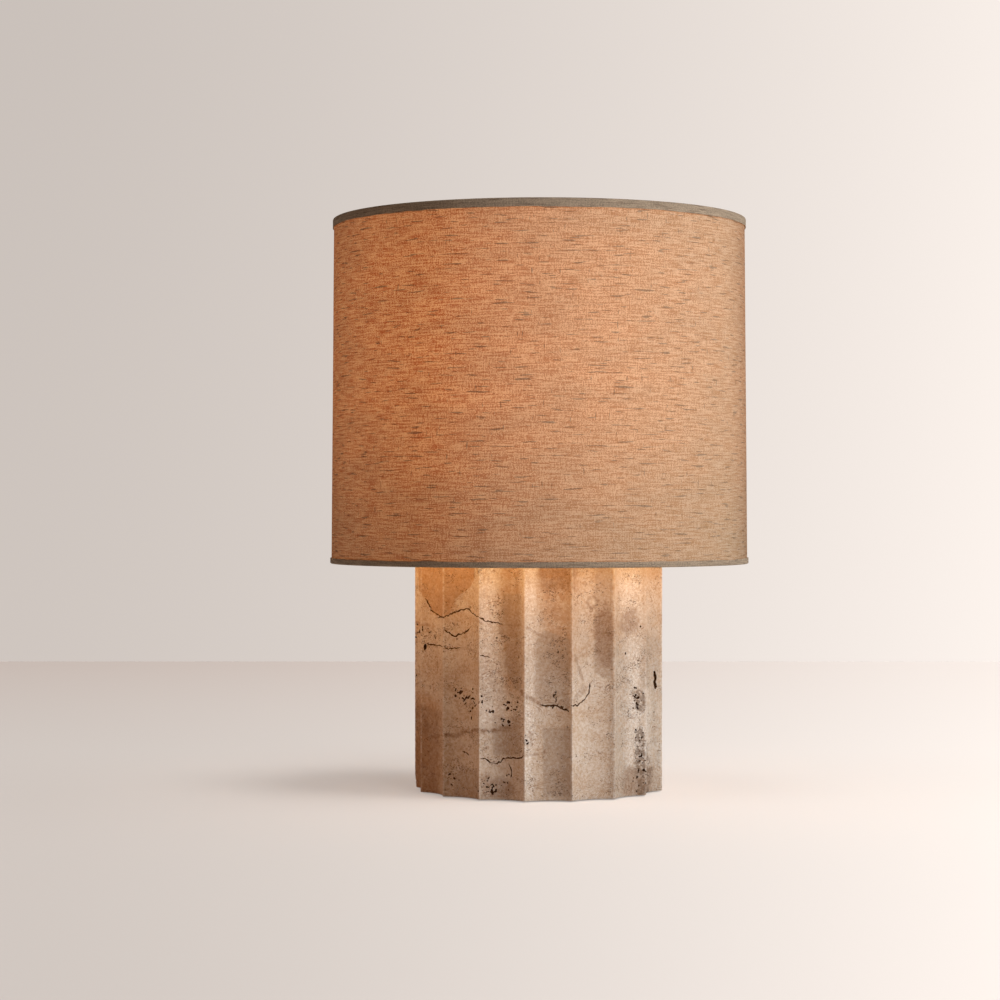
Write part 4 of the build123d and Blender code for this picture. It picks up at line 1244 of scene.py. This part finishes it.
wall_foot = Vector((EYE.x, EYE.y, 0)) + SIGHT * WALL_AHEAD
table_middle = wall_foot - SIGHT * STAGE_DEPTH / 2
wall_middle = wall_foot + Vector((0, 0, WALL_HEIGHT / 2))
table_paint = stage_paint("tabletop_paint", SHADOW_SHARE)
wall_paint = stage_paint("wall_paint", 0.0)
tabletop = stage_plane("tabletop", STAGE_DEPTH, table_middle, (0, 0, CAMERA_YAW), table_paint)
backdrop = stage_plane("backdrop", WALL_HEIGHT, wall_middle, (pi / 2, 0, CAMERA_YAW), wall_paint)

world = bpy.data.worlds.new("studio")
scene.world = world
world.use_nodes = True
tree = world.node_tree
around = add_node(tree, "ShaderNodeBackground", {"Color": (0.60, 0.52, 0.46, 1), "Strength": 0.10}).outputs[0]
pale = add_node(tree, "ShaderNodeBackground", {"Color": (0.76, 0.69, 0.64, 1), "Strength": 1.0}).outputs[0]
shown = add_node(tree, "ShaderNodeMixShader", {0: seen_directly(tree), 1: around, 2: pale}).outputs[0]
vary(tree.nodes["World Output"], Surface=shown)

lamp_only = bpy.data.collections.new("lamp_only")
stage_only = bpy.data.collections.new("stage_only")
stone_only = bpy.data.collections.new("stone_only")
for piece in list(scene.objects):
    if piece in (tabletop, backdrop):
        stage_only.objects.link(piece)
    elif piece.type == "MESH":
        lamp_only.objects.link(piece)
stone_only.objects.link(column)
for glowing in (linen_cover, nodes["shade_liner"], nodes["bulb_globe"]):
    glowing.light_linking.receiver_collection = lamp_only


def from_lamp(azimuth, elevation):
    """The direction from the lamp at an azimuth and elevation in degrees, counted from its front."""
    azimuth, elevation = radians(azimuth), radians(elevation)
    return Vector((sin(azimuth) * cos(elevation), -cos(azimuth) * cos(elevation), sin(elevation)))


def add_light(name, kind, direction, distance, power, colour, receivers, blockers=None, aim=(0, 0, 0.2)):
    """A light that stands in a direction from the lamp, faces it, and reaches only its receivers."""
    holder = bpy.data.objects.new(name, bpy.data.lights.new(name, kind))
    holder.data.energy = power
    holder.data.color = colour
    scene.collection.objects.link(holder)
    holder.location = Vector(aim) + direction * distance
    holder.rotation_euler = direction.to_track_quat("Z", "Y").to_euler()
    holder.light_linking.receiver_collection = receivers
    holder.light_linking.blocker_collection = blockers
    return holder


DAYLIGHT = (1.0, 0.96, 0.93)
LAMP_LIGHTS = (  # name, azimuth, elevation, distance, power, colour, what it reaches and its size
    ("key", 64, 5, 2.4, 29.5, DAYLIGHT, lamp_only, 0.5),
    ("high_key", 64, 42, 2.4, 28, DAYLIGHT, lamp_only, 0.8),
    ("left_glow", -75, 8, 1.6, 5.6, (1.0, 0.44, 0.17), stone_only, 0.9),
    ("front_glow", -22, 8, 1.6, 2.7, (1.0, 0.48, 0.24), stone_only, 0.9),
    ("back_fill", 190, 35, 2.2, 10, (1.0, 0.94, 0.88), lamp_only, 1.6),
)
for name, azimuth, elevation, distance, power, colour, receivers, size in LAMP_LIGHTS:
    direction = from_lamp(azimuth, elevation)
    add_light(name, "AREA", direction, distance, power, colour, receivers).data.size = size
for azimuth, elevation, share in TABLE_LIGHTS:
    direction = from_lamp(azimuth, elevation)
    power = share * pi / direction.z  # together they light the table as its paint is written
    table_light = add_light("table_light", "SUN", direction, 2.0, power, (1, 1, 1), stage_only, stone_only)
    table_light.data.angle = radians(26)

bulb_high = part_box("bulb_globe")[1]
globe_radius = bulb_high.x
globe_middle = (0, 0, bulb_high.z - globe_radius)
upward = Vector((0, 0, 1))
bulb_light = add_light("bulb_light", "POINT", upward, 0, 1.6, (1.0, 0.56, 0.22), lamp_only, aim=globe_middle)
bulb_light.data.shadow_soft_size = globe_radius + 0.002
bulb_light.visible_camera = False
bulb_light.visible_glossy = False
